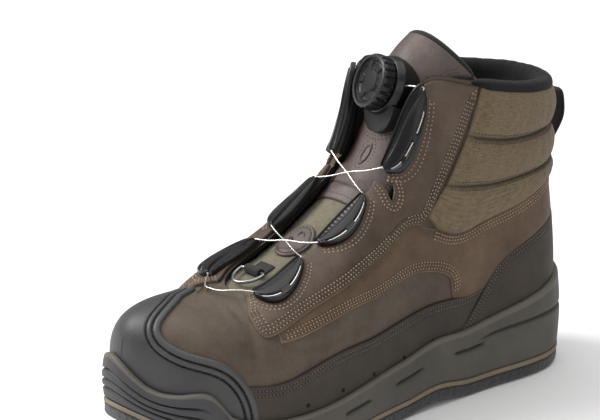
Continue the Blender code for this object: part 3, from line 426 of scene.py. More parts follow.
def edge_out(at, side):
    """Outward plan direction at the sole's edge."""
    if at <= 0.0:
        return np.array([0.0, 1.0])
    if at >= 1.0:
        return np.array([0.0, -1.0])
    step = 0.001
    run = edge_point(min(at + step, 1), side) - edge_point(max(at - step, 0), side)
    run = run / np.linalg.norm(run)
    return np.array([-run[1], run[0]]) * side


def inset_edge(at, side, inset):
    return edge_point(at, side) - inset * edge_out(at, side)


def floor_lift(share):
    """How far the underside of the outsole is off the floor: a low arch and the toe spring."""
    arch = ARCH_LIFT * smooth_step(share, 0.30, 0.39) * smooth_step(-share, -0.48, -0.39)
    return arch + TOE_SPRING * max(0.0, (share - SPRING_FROM) / (1 - SPRING_FROM)) ** 2


def midsole_base(share):
    return floor_lift(share) + FELT + STRIPE + 2 * CLEARANCE


def footbed(share):
    """Height of the floor inside the midsole's cup."""
    thick = MIDSOLE_UNDER_HEEL + (MIDSOLE_UNDER_BALL - MIDSOLE_UNDER_HEEL) * smooth_step(share, 0.25, 0.70)
    return midsole_base(share) + thick


def lip(at):
    """Height of the top edge of the midsole's side wall."""
    plain = LIP_BALL + (LIP_HEEL - LIP_BALL) * LIP_SHARE(at)
    return plain + (LIP_TOE - LIP_BALL) * smooth_step(at, 0.70, 0.95) + floor_lift(share_along(at))


def top_height(high):
    return TOE_HEIGHT + (COLLAR_FRONT_HEIGHT - TOE_HEIGHT) * high


def ridge_x(at):
    return -TOE_SHIFT * smooth_step(at, 0.60, 1.0)


@functools.lru_cache(maxsize=None)
def section(at, side):
    """The four control points of the upper's section at a place along the edge."""
    value = {name: curve(at) for name, curve in SECTION.items()}
    share = share_along(at)
    foot = np.array([*inset_edge(at, side, SOLE_EDGE), footbed(share)])
    half = max(0.0, value["half"]) if at < RIDGE_FROM else 0.0
    top = np.array(
        [side * half * COLLAR_WIDTH / 2 + ridge_x(at), y_of(value["along"]), top_height(value["high"])]
    )
    rise = top[2] - foot[2]
    low = foot + np.array([*(edge_out(at, side) * value["low_out"] * BALL_WIDTH), value["low_up"] * rise])
    turn = math.radians(value["face"])
    reach = value["top_out"] * BALL_WIDTH
    high = top + np.array([side * math.sin(turn) * reach, math.cos(turn) * reach, -value["top_down"] * rise])
    high[2] += value["fall"] * math.cos(turn) * reach
    return foot, low, high, top


def on_upper(around, up):
    """A point on the upper's outer face.

    around runs from 0 at the back of the heel along the outer side to 1 at the tip of the toe, and back along
    the inner side to 2. up runs from the feather edge at 0 to the top line at 1.
    """
    around = round(around % 2, 9)
    foot, low, high, top = section(around, 1) if around <= 1 else section(2 - around, -1)
    down = 1 - up
    return down**3 * foot + 3 * down * down * up * low + 3 * down * up * up * high + up**3 * top


# Fine forms
SAMPLES = np.linspace(0.0, 2.0, 1601)
CONTROLS = np.array([section(round(a, 9), 1) if a <= 1 else section(round(2 - a, 9), -1) for a in SAMPLES])


def skin(around, up):
    """Points on the upper's outer face, for arrays of places."""
    around = np.asarray(around, float) % 2
    up = np.asarray(up, float)
    control = [
        np.stack([np.interp(around, SAMPLES, CONTROLS[:, i, k]) for k in range(3)], axis=-1) for i in range(4)
    ]
    t = up[..., None]
    d = 1 - t
    return d**3 * control[0] + 3 * d * d * t * control[1] + 3 * d * t * t * control[2] + t**3 * control[3]


def run_along(line):
    """Distance of each point of a line from its start, along it."""
    return np.concatenate([[0], np.cumsum(np.linalg.norm(np.diff(line, axis=0), axis=1))])


def unit(v):
    return v / np.maximum(np.linalg.norm(v, axis=-1, keepdims=True), 1e-12)


def skin_out(around, up):
    """Outward directions of the upper's face."""
    around, up = np.broadcast_arrays(np.asarray(around, float), np.asarray(up, float))
    at = np.where(around % 2 > 1, 2 - around % 2, around % 2)
    ridge = (np.clip((at - RIDGE_FROM) / 0.02, 0, 1) * np.clip((up - 0.93) / 0.07, 0, 1))[..., None]
    return unit(one_side_out(around, up) * (1 - 0.5 * ridge) + one_side_out(2 - around, up) * 0.5 * ridge)


def one_side_out(around, up):
    """Outward directions that aren't blended across the ridge."""
    step = 0.003
    along = skin(around + step, up) - skin(around - step, up)
    rise = skin(around, np.minimum(up + step, 1)) - skin(around, np.maximum(up - step, 0))
    return unit(np.cross(rise, along))


def on_skin(around, up, height):
    """Points over the upper's face, at a height above it."""
    around, up, height = np.broadcast_arrays(
        np.asarray(around, float), np.asarray(up, float), np.asarray(height, float)
    )
    return skin(around, up) + skin_out(around, up) * height[..., None]


def on_side(around, side):
    """A place on the outer side, or the one across from it on the inner side."""
    return around if side > 0 else 2 - around


def bell(x, middle, half):
    return np.exp(-(((x - middle) / half) ** 2))


def rounded(share):
    """A quarter circle's rise over a share of the way in from an edge."""
    return np.sqrt(np.clip(1 - (1 - np.clip(share, 0, 1)) ** 2, 0, 1))


def ease(x, low, high):
    """smooth_step for arrays."""
    t = np.clip((np.asarray(x, float) - low) / (high - low), 0, 1)
    return t * t * (3 - 2 * t)


# Mesh helpers
def link(name, mesh, material, smooth_angle=40):
    obj = bpy.data.objects.new(name, mesh)
    bpy.context.scene.collection.objects.link(obj)
    if material is not None:
        mesh.materials.append(material)
    if smooth_angle:
        mesh.shade_smooth()
        mesh.set_sharp_from_angle(angle=math.radians(smooth_angle))
    return obj


def mesh_from(
    name, points, faces, material=None, smooth_angle=40, merge=0.0, marks=None, uv=None, face_slots=None
):
    """An object from points and faces, with point attributes and a map in metres."""
    mesh = bpy.data.meshes.new(name)
    corners = [tuple(int(i) for i in face) for face in faces]
    mesh.from_pydata([tuple(point) for point in np.asarray(points, float)], [], corners)
    if marks:
        for key, values in marks.items():
            layer = mesh.attributes.new(key, "FLOAT", "POINT")
            layer.data.foreach_set("value", np.asarray(values, np.float32).ravel())
    if uv is not None:
        layer = mesh.uv_layers.new(name="UVMap")
        corners = np.empty(len(mesh.loops), int)
        mesh.loops.foreach_get("vertex_index", corners)
        layer.data.foreach_set("uv", np.asarray(uv, float)[corners].astype(np.float32).ravel())
    if face_slots is not None:
        mesh.polygons.foreach_set("material_index", np.asarray(face_slots, np.int32))
    bm = bmesh.new()
    bm.from_mesh(mesh)
    if merge:
        bmesh.ops.remove_doubles(bm, verts=bm.verts, dist=merge)
        bmesh.ops.dissolve_degenerate(bm, edges=bm.edges, dist=merge * 0.5)
    bmesh.ops.recalc_face_normals(bm, faces=bm.faces)
    bm.to_mesh(mesh)
    bm.free()
    return link(name, mesh, material, smooth_angle)


def grid_faces(columns, rows, start=0, wrap=False):
    """Quads of a grid whose point (i, j) is number start + i * rows + j."""
    faces = []
    for i in range(columns if wrap else columns - 1):
        k = (i + 1) % columns
        for j in range(rows - 1):
            a, b = start + i * rows + j, start + k * rows + j
            faces.append((a, b, b + 1, a + 1))
    return faces


def ring_faces(levels, count, *caps):
    """Quads between closed rings of points, and a cap on each ring that caps names."""
    faces = []
    for level in range(levels - 1):
        for i in range(count):
            a, b = level * count + i, level * count + (i + 1) % count
            faces.append((a, b, b + count, a + count))
    return faces + [tuple(level * count + i for i in range(count)) for level in caps]


def slab(name, top, low, material, marks=None, uv=None, smooth_angle=50):
    """A closed solid between two grids of points."""
    columns, rows = top.shape[:2]
    count = columns * rows
    points = np.vstack([top.reshape(-1, 3), low.reshape(-1, 3)])
    faces = grid_faces(columns, rows)
    faces += [tuple(reversed(f)) for f in grid_faces(columns, rows, count)]
    rim = [i * rows for i in range(columns)] + [(columns - 1) * rows + j for j in range(1, rows)]
    rim += [i * rows + rows - 1 for i in range(columns - 2, -1, -1)] + [j for j in range(rows - 2, 0, -1)]
    for a, b in zip(rim, rim[1:] + rim[:1]):
        faces.append((b, a, a + count, b + count))
    both = {key: np.concatenate([np.ravel(v), np.ravel(v)]) for key, v in (marks or {}).items()}
    where = None if uv is None else np.vstack([uv.reshape(-1, 2), uv.reshape(-1, 2)])
    return mesh_from(name, points, faces, material, smooth_angle, marks=both, uv=where)


def tube_mesh(path, radius, sides=10, closed=False, start=0):
    """Points and faces of a round bar along a path. radius may vary along it."""
    path = np.asarray(path, float)
    count = len(path)
    radius = np.broadcast_to(np.asarray(radius, float), (count,))
    points, faces = [], []
    across = None
    for i in range(count):
        ahead = path[(i + 1) % count] if closed or i < count - 1 else path[i]
        behind = path[i - 1] if closed or i > 0 else path[i]
        run = unit(ahead - behind)
        if across is None:
            across = np.cross(run, [0.0, 0.0, 1.0] if abs(run[2]) < 0.9 else [0.0, 1.0, 0.0])
        across = unit(across - np.dot(across, run) * run)
        third = np.cross(run, across)
        for k in range(sides):
            angle = 2 * math.pi * k / sides
            points.append(path[i] + radius[i] * (math.cos(angle) * across + math.sin(angle) * third))
    for i in range(count if closed else count - 1):
        for k in range(sides):
            a, b = i * sides + k, i * sides + (k + 1) % sides
            c, d = ((i + 1) % count) * sides + (k + 1) % sides, ((i + 1) % count) * sides + k
            faces.append((start + a, start + b, start + c, start + d))
    if not closed:
        faces.append(tuple(start + k for k in reversed(range(sides))))
        faces.append(tuple(start + (count - 1) * sides + k for k in range(sides)))
    return points, faces


def join_parts(name, parts, material, smooth_angle=50):
    """One mesh of several lists of points and faces."""
    points, faces = [], []
    for some_points, some_faces in parts:
        shift = len(points)
        points += list(some_points)
        faces += [tuple(i + shift for i in face) for face in some_faces]
    return mesh_from(name, points, faces, material, smooth_angle)


def smooth_line(points, count):
    """A smooth curve through points, as count points."""
    points = np.asarray(points, float)
    table = [(i, *p) for i, p in enumerate(points)]
    curves = [spline(table, k) for k in range(1, points.shape[1] + 1)]
    return np.array([[c(t) for c in curves] for t in np.linspace(0, len(points) - 1, count)])


def settle(obj, slot, *nodes, body=BODY):
    """Tie a piece to its body and hide the CAD nodes that it stands for. slot, the finish's slot, is not used.
    """
    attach(obj, body)
    if nodes:
        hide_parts(*nodes)
    return obj


def cut(obj, tool):
    """Take a tool's volume out of a piece."""
    change = obj.modifiers.new("Cut", "BOOLEAN")
    change.operation = "DIFFERENCE"
    change.object = tool
    bpy.context.view_layer.update()
    mesh = bpy.data.meshes.new_from_object(obj.evaluated_get(bpy.context.evaluated_depsgraph_get()))
    obj.modifiers.clear()
    obj.data = mesh
    bpy.data.objects.remove(tool)
    mesh.set_sharp_from_angle(angle=math.radians(40))
    return obj


# Stitches
THREADS = {}
STITCH = 0.0022
STITCH_GAP = 0.0009
THREAD = 0.00046
STITCH_SIDES = 5
# Along a stitch: a share of its length, and its width and lift as shares of the thread's
STITCH_RINGS = [(0.0, 0.40, -0.9), (0.28, 1.0, 0.35), (0.72, 1.0, 0.35), (1.0, 0.40, -0.9)]


def stitches(kind, points, outs, pitch=STITCH, gap=STITCH_GAP, thread=THREAD, sink=0.0001):
    """Lay stitches along a line of points: short arched threads that dip into the surface at both ends."""
    points, outs = np.asarray(points, float), np.asarray(outs, float)
    run = run_along(points)
    count = max(1, int(round(run[-1] / pitch)))
    real = run[-1] / count
    bucket = THREADS.setdefault(kind, ([], []))

    def at(s):
        return np.array([np.interp(s, run, points[:, k]) for k in range(3)])

    def out_at(s):
        return unit(np.array([np.interp(s, run, outs[:, k]) for k in range(3)]))

    for i in range(count):
        low, high = i * real + gap / 2, (i + 1) * real - gap / 2
        rings = []
        for share, wide, lift in STITCH_RINGS:
            s = low + (high - low) * share
            middle = at(s) + out_at(s) * (thread * lift - sink)
            forward = unit(at(min(s + 0.0003, run[-1])) - at(max(s - 0.0003, 0)))
            side = unit(np.cross(out_at(s), forward))
            up = np.cross(forward, side)
            for k in range(STITCH_SIDES):
                angle = 2 * math.pi * k / STITCH_SIDES
                rings.append(middle + thread * wide * (math.cos(angle) * side + math.sin(angle) * up))
        base = len(bucket[0])
        bucket[0].extend(rings)
        levels = len(STITCH_RINGS)
        bucket[1].extend(
            tuple(base + i for i in face) for face in ring_faces(levels, STITCH_SIDES, 0, levels - 1)
        )


# Materials
class Look:
    """A material being wired up: its shader, and short calls for the nodes that feed it."""

    def __init__(self, name, color, roughness, metallic=0.0, **sockets):
        self.material = bpy.data.materials.new(name)
        self.material.use_nodes = True
        self.tree = self.material.node_tree
        self.shader = self.tree.nodes["Principled BSDF"]
        self.set("Base Color", (*color, 1))
        self.set("Roughness", roughness)
        self.set("Metallic", metallic)
        for key, value in sockets.items():
            self.set(key.replace("_", " "), value)
        self.coords = self.tree.nodes.new("ShaderNodeTexCoord")

    def set(self, key, value):
        self.shader.inputs[key].default_value = value

    def join(self, a, b):
        self.tree.links.new(a, b)

    def add(self, kind, **inputs):
        node = self.tree.nodes.new(kind)
        for key, value in inputs.items():
            node.inputs[key.replace("_", " ")].default_value = value
        return node

    def stretched(self, scale, space="Object"):
        node = self.add("ShaderNodeMapping")
        node.inputs["Scale"].default_value = scale
        self.join(self.coords.outputs[space], node.inputs["Vector"])
        return node.outputs["Vector"]

    def noise(self, scale, detail=4.0, rough=0.55, vector=None):
        node = self.add("ShaderNodeTexNoise", Scale=scale, Detail=detail, Roughness=rough)
        self.join(vector or self.coords.outputs["Object"], node.inputs["Vector"])
        return node.outputs["Fac"]

    def cells(self, scale):
        node = self.add("ShaderNodeTexVoronoi", Scale=scale)
        self.join(self.coords.outputs["Object"], node.inputs["Vector"])
        return node.outputs["Distance"]

    def wave(self, pitch, axis, space="UV", warp=0.0):
        """Bands across one axis of the map, which is in metres."""
        node = self.add("ShaderNodeTexWave", Scale=1.0, Distortion=warp, Detail=1.0)
        node.wave_type = "BANDS"
        node.bands_direction = axis
        scale = (0.314159 / pitch,) * 3
        self.join(self.stretched(scale, space), node.inputs["Vector"])
        return node.outputs["Fac"]

    def ramp(self, value, stops):
        node = self.tree.nodes.new("ShaderNodeValToRGB")
        while len(node.color_ramp.elements) < len(stops):
            node.color_ramp.elements.new(0.5)
        for element, (place, color) in zip(node.color_ramp.elements, stops):
            element.position = place
            element.color = (*color, 1) if len(color) == 3 else color
        self.join(value, node.inputs["Fac"])
        return node.outputs["Color"]

    def mix(self, share, a, b, how="MIX"):
        node = self.tree.nodes.new("ShaderNodeMix")
        node.data_type = "RGBA"
        node.blend_type = how
        for value, key in ((share, 0), (a, 6), (b, 7)):
            if isinstance(value, (int, float)):
                node.inputs[key].default_value = value
            elif isinstance(value, tuple):
                node.inputs[key].default_value = (*value, 1)
            else:
                self.join(value, node.inputs[key])
        return node.outputs[2]

    def math(self, how, a, b):
        node = self.tree.nodes.new("ShaderNodeMath")
        node.operation = how
        for value, key in ((a, 0), (b, 1)):
            if isinstance(value, (int, float)):
                node.inputs[key].default_value = value
            else:
                self.join(value, node.inputs[key])
        return node.outputs[0]

    def mark(self, name):
        node = self.tree.nodes.new("ShaderNodeAttribute")
        node.attribute_name = name
        return node.outputs["Fac"]

    def color(self, value):
        self.join(value, self.shader.inputs["Base Color"])

    def rough(self, value, low, high):
        node = self.tree.nodes.new("ShaderNodeMapRange")
        node.inputs["To Min"].default_value = low
        node.inputs["To Max"].default_value = high
        self.join(value, node.inputs["Value"])
        self.join(node.outputs["Result"], self.shader.inputs["Roughness"])

    def bump(self, *layers):
        """Stack bumps, each a height, its depth in metres and its strength."""
        last = None
        for height, depth, strength in layers:
            node = self.add("ShaderNodeBump", Strength=strength, Distance=depth)
            self.join(height, node.inputs["Height"])
            if last is not None:
                self.join(last, node.inputs["Normal"])
            last = node.outputs["Normal"]
        self.join(last, self.shader.inputs["Normal"])


def leather(name, dark, middle, light, rough, edge=(0.30, 0.22, 0.15), low=None):
    """Waxed nubuck: mottled, with a fine grain and lighter cut edges; low paints shade where the mark low lies,
    off its high places.
    """
    look = Look(name, middle, rough, Specular_IOR_Level=0.35)
    clouds = look.noise(38, 5, 0.62)
    fine = look.noise(520, 4, 0.6)
    tone = look.ramp(look.math("ADD", look.math("MULTIPLY", clouds, 0.78), look.math("MULTIPLY", fine, 0.22)), [
        (0.34, dark), (0.50, middle), (0.66, light),
    ])
    # Painted shade: where the mark low lies, the colour is multiplied by low, for the lower sides that get less
    # light.
    if low:
        tone = look.mix(look.mark("low"), tone, look.mix(1.0, tone, low, "MULTIPLY"))
    tone = look.mix(look.math("MULTIPLY", look.mark("seam"), 0.85), tone, tuple(v * 0.22 for v in dark))
    tone = look.mix(look.math("MULTIPLY", look.mark("rim"), 0.85), tone, edge)
    look.color(tone)
    look.rough(look.noise(160, 3, 0.6), rough - 0.08, rough + 0.10)
    look.bump((look.noise(60, 3, 0.5), 0.0008, 0.25), (look.cells(950), 0.00022, 0.35), (fine, 0.0002, 0.45))
    return look.material


def coated(name, dark, light, rough, edge, grain=700):
    """Rubber-coated microfibre: an even, fine pebble with a soft shine."""
    look = Look(name, light, rough, Specular_IOR_Level=0.45)
    tone = look.ramp(look.noise(45, 4, 0.6), [(0.35, dark), (0.65, light)])
    tone = look.mix(look.math("MULTIPLY", look.mark("seam"), 0.92), tone, (0.004, 0.004, 0.004))
    tone = look.mix(look.math("MULTIPLY", look.mark("rim"), 0.75), tone, edge)
    look.color(tone)
    look.rough(look.noise(220, 3, 0.6), rough - 0.06, rough + 0.08)
    look.bump((look.cells(grain), 0.00018, 0.35), (look.noise(1500, 2, 0.5), 0.00012, 0.35))
    return look.material


def canvas(name, dark, light, pitch=0.00085):
    """Plain weave of slubby yarn, from a map in metres."""
    look = Look(name, light, 0.88, Specular_IOR_Level=0.2, Sheen_Weight=0.12, Sheen_Roughness=0.6)
    warp = look.wave(pitch, "X", warp=0.12)
    weft = look.wave(pitch, "Y", warp=0.12)
    weave = look.math("MULTIPLY", warp, weft)
    slub = look.noise(1.0, 3, 0.6, look.stretched((260, 1500, 1), "UV"))
    slub_across = look.noise(1.0, 3, 0.6, look.stretched((1500, 260, 1), "UV"))
    both = look.math("ADD", look.math("MULTIPLY", slub, 0.6), look.math("MULTIPLY", slub_across, 0.4))
    tone = look.ramp(both, [(0.36, dark), (0.64, light)])
    # Painted shade: the hollows between the yarns of the weave are darkened.
    hollow = look.math("MULTIPLY", look.math("SUBTRACT", 1.0, weave), 0.35)
    tone = look.mix(hollow, tone, tuple(v * 0.45 for v in dark))
    tone = look.mix(look.math("MULTIPLY", look.mark("seam"), 0.75), tone, (0.02, 0.016, 0.012))
    tone = look.mix(look.math("MULTIPLY", look.noise(30, 3, 0.6), 0.25), tone, tuple(v * 0.7 for v in light))
    look.color(tone)
    look.bump((weave, 0.0003, 0.6), (both, 0.0002, 0.5))
    return look.material


def moulded(name, dark, light, rough, toe=None):
    """Moulded foam rubber with a faint mottle, and a second colour round the toe."""
    look = Look(name, light, rough, Specular_IOR_Level=0.4)
    tone = look.ramp(look.noise(28, 5, 0.65), [(0.35, dark), (0.65, light)])
    if toe:
        tone = look.mix(look.mark("toe"), tone, toe)
    # seam: on the midsole, painted shade in its grooves and dashes.
    tone = look.mix(look.math("MULTIPLY", look.mark("seam"), 0.85), tone, tuple(v * 0.22 for v in dark))
    tone = look.mix(look.math("MULTIPLY", look.mark("rim"), 0.6), tone, tuple(min(1, v * 1.9) for v in light))
    look.color(tone)
    look.rough(look.noise(150, 3, 0.6), rough - 0.07, rough + 0.08)
    look.bump((look.noise(420, 4, 0.6), 0.00022, 0.4), (look.noise(1800, 2, 0.5), 0.0001, 0.3))
    return look.material


def felt(name):
    look = Look(
        name, (0.014, 0.014, 0.015), 0.96, Specular_IOR_Level=0.15, Sheen_Weight=0.25, Sheen_Roughness=0.7
    )
    fibres = look.noise(900, 6, 0.75)
    dark, middle, light = (0.004, 0.004, 0.005), (0.016, 0.016, 0.018), (0.060, 0.060, 0.064)
    look.color(look.ramp(fibres, [(0.32, dark), (0.55, middle), (0.80, light)]))
    look.bump((look.noise(260, 5, 0.7), 0.0012, 0.8), (fibres, 0.0005, 0.7))
    return look.material


def knit(name, dark, light, pitch=0.0011):
    """Black lining: a ribbed knit over foam."""
    look = Look(name, light, 0.92, Specular_IOR_Level=0.2, Sheen_Weight=0.05, Sheen_Roughness=0.6)
    ribs = look.wave(pitch, "X", warp=0.4)
    look.color(look.mix(ribs, dark, light))
    look.bump((ribs, 0.0003, 0.5), (look.noise(900, 3, 0.6), 0.0002, 0.4))
    return look.material


def webbing(name, dark, light, pitch=0.0013):
    look = Look(name, light, 0.80, Specular_IOR_Level=0.3, Sheen_Weight=0.1, Sheen_Roughness=0.6)
    weave = look.math("MULTIPLY", look.wave(pitch, "X"), look.wave(pitch * 0.7, "Y"))
    look.color(look.mix(weave, dark, light))
    look.bump((weave, 0.0003, 0.7))
    return look.material


def glossy(name, color, rough, edge=None):
    look = Look(name, color, rough, Specular_IOR_Level=0.32, Coat_Weight=0.12, Coat_Roughness=0.15)
    dark, light = (tuple(v * k for v in color) for k in (0.85, 1.15))
    tone = look.ramp(look.noise(60, 3, 0.6), [(0.35, dark), (0.65, light)])
    # With edge given, rim lightens the colour towards edge: on the guides a painted highlight on their ridges,
    # on the knob a rim painted lighter. seam darkens to near black: on the guides, painted shade in their
    # hollows.
    if edge:
        tone = look.mix(look.math("MULTIPLY", look.mark("rim"), 0.8), tone, edge)
        tone = look.mix(look.math("MULTIPLY", look.mark("seam"), 0.9), tone, (0.003, 0.003, 0.003))
    look.color(tone)
    look.rough(look.noise(300, 3, 0.6), rough - 0.05, rough + 0.09)
    look.bump((look.noise(1400, 2, 0.5), 0.00008, 0.25))
    return look.material


def wire_steel(name, color=(0.72, 0.71, 0.68)):
    look = Look(name, color, 0.28, metallic=0.9)
    look.rough(look.noise(900, 2, 0.5), 0.20, 0.38)
    look.bump((look.wave(0.0006, "DIAGONAL", "Object"), 0.00008, 0.5))
    return look.material


def thread(name, dark, light):
    look = Look(name, light, 0.75, Specular_IOR_Level=0.3)
    look.color(look.ramp(look.noise(1200, 3, 0.6), [(0.35, dark), (0.65, light)]))
    look.bump((look.noise(3500, 2, 0.6), 0.0001, 0.5))
    return look.material


LOOK = {
    # The vamp's low is painted shade for its sides and lower parts.
    "vamp": leather(
        "vamp leather", (0.231, 0.181, 0.135), (0.347, 0.279, 0.214), (0.452, 0.372, 0.294),
        0.58, low=(0.22, 0.20, 0.18),
    ),
    "quarter": leather(
        "quarter leather", (0.065, 0.038, 0.022), (0.095, 0.058, 0.034), (0.129, 0.082, 0.050),
        0.60, (0.209, 0.138, 0.081),
    ),
    "eyestay": leather(
        "eyestay leather", (0.048, 0.031, 0.022), (0.071, 0.047, 0.032), (0.096, 0.066, 0.046),
        0.58, (0.161, 0.114, 0.070),
    ),
    "tongue": leather(
        "tongue leather", (0.065, 0.048, 0.042), (0.097, 0.072, 0.064), (0.128, 0.099, 0.089),
        0.50, (0.100, 0.075, 0.063),
    ),
    "toe": coated("toe rubber", (0.032, 0.032, 0.033), (0.041, 0.041, 0.043), 0.50, (0.073, 0.073, 0.073)),
    "rand": coated(
        "rand rubber", (0.028, 0.020, 0.014), (0.040, 0.030, 0.021), 0.66, (0.066, 0.047, 0.032), 520,
    ),
    "canvas": canvas("khaki canvas", (0.105, 0.075, 0.040), (0.245, 0.179, 0.106)),
    "tongue canvas": canvas("tongue canvas", (0.125, 0.110, 0.070), (0.250, 0.225, 0.155)),
    "midsole": moulded("midsole", (0.062, 0.057, 0.047), (0.088, 0.080, 0.066), 0.60, (0.044, 0.042, 0.045)),
    "stripe": moulded("stripe", (0.150, 0.120, 0.078), (0.215, 0.175, 0.118), 0.62),
    "felt": felt("felt"),
    "lining": knit("lining", (0.003, 0.003, 0.003), (0.009, 0.009, 0.010)),
    "footbed": knit("footbed", (0.020, 0.020, 0.022), (0.050, 0.050, 0.054), 0.0018),
    "binding": webbing("binding", (0.005, 0.005, 0.005), (0.014, 0.014, 0.015)),
    "webbing": webbing("webbing", (0.008, 0.006, 0.005), (0.022, 0.018, 0.016)),
    "plastic": glossy("black plastic", (0.014, 0.014, 0.015), 0.30),
    "guide": glossy("guide plastic", (0.004, 0.004, 0.005), 0.36, (0.036, 0.036, 0.038)),
    "knob": glossy("knob plastic", (0.007, 0.007, 0.007), 0.42, (0.020, 0.020, 0.021)),
    "matte plastic": glossy("matte plastic", (0.017, 0.016, 0.016), 0.60),
    "steel": wire_steel("steel"),
    "ring steel": wire_steel("ring steel", (0.30, 0.30, 0.29)),
    "thread tan": thread("tan thread", (0.213, 0.152, 0.100), (0.413, 0.312, 0.213)),
    "thread brown": thread("brown thread", (0.110, 0.085, 0.062), (0.230, 0.185, 0.140)),
    "thread dark": thread("dark thread", (0.030, 0.024, 0.020), (0.075, 0.062, 0.052)),
    "thread black": thread("black thread", (0.006, 0.006, 0.006), (0.020, 0.020, 0.020)),
}
# Panels on the upper
SEAT = CLEARANCE
# Distances from a panel's edge, close together where the edge is rounded and its grooves run
EDGE_ROWS = np.concatenate([[0.0, 0.10, 0.25, 0.45, 0.75], np.linspace(1.1, 4.3, 9), [4.8, 5.4, 6.0]]) / 1000


def placer(table, top=None):
    """A function of shares f and g between a table's two edges, for arrays. top limits both coordinates."""
    count = len(table) - 1
    shares = [(i / count, *row) for i, row in enumerate(table)]
    curves = [spline(shares, k) for k in range(1, 5)]
    fine = np.linspace(0, 1, 401)
    values = [np.array([curve(f) for f in fine]) for curve in curves]
    if top:
        values = [np.minimum(v, top) for v in values]

    def place(f, g):
        a, b, c, d = (np.interp(f, fine, v) for v in values)
        return a + (c - a) * g, b + (d - b) * g

    return place


def from_line(points, line):
    """Distance of each point from a dense line of points."""
    flat = points.reshape(-1, 3)
    size = np.sum(line**2, axis=1)
    found = [
        np.min(np.sum(part**2, axis=1)[:, None] + size[None, :] - 2 * part @ line.T, axis=1)
        for part in np.array_split(flat, max(1, len(flat) // 4000))
    ]
    return np.sqrt(np.maximum(np.concatenate(found), 0)).reshape(points.shape[:-1])


def shifted(around, up, away):
    """Places moved square to their own line by a distance in metres, over the upper's face."""
    step = 0.002
    along = (skin(around + step, up) - skin(around - step, up)) / (2 * step)
    rise = (skin(around, up + step) - skin(around, up - step)) / (2 * step)
    run = np.gradient(around)[:, None] * along + np.gradient(up)[:, None] * rise
    way = unit(np.cross(np.cross(along, rise), run)) * away
    aa, ar, rr = np.sum(along * along, 1), np.sum(along * rise, 1), np.sum(rise * rise, 1)
    wa, wr = np.sum(way * along, 1), np.sum(way * rise, 1)
    size = aa * rr - ar * ar
    return around + (wa * rr - wr * ar) / size, up + (wr * aa - wa * ar) / size


def inset(around, up, away, rank):
    """A line moved to the one of its two sides that ranks lower."""
    return min((shifted(around, up, sign * away) for sign in (1, -1)), key=rank)


def mean_up(line):
    return line[1].mean()


def runs(kept):
    """The unbroken stretches of a mask."""
    index = np.where(kept)[0]
    return [part for part in np.split(index, np.where(np.diff(index) > 1)[0] + 1) if len(part) > 5]


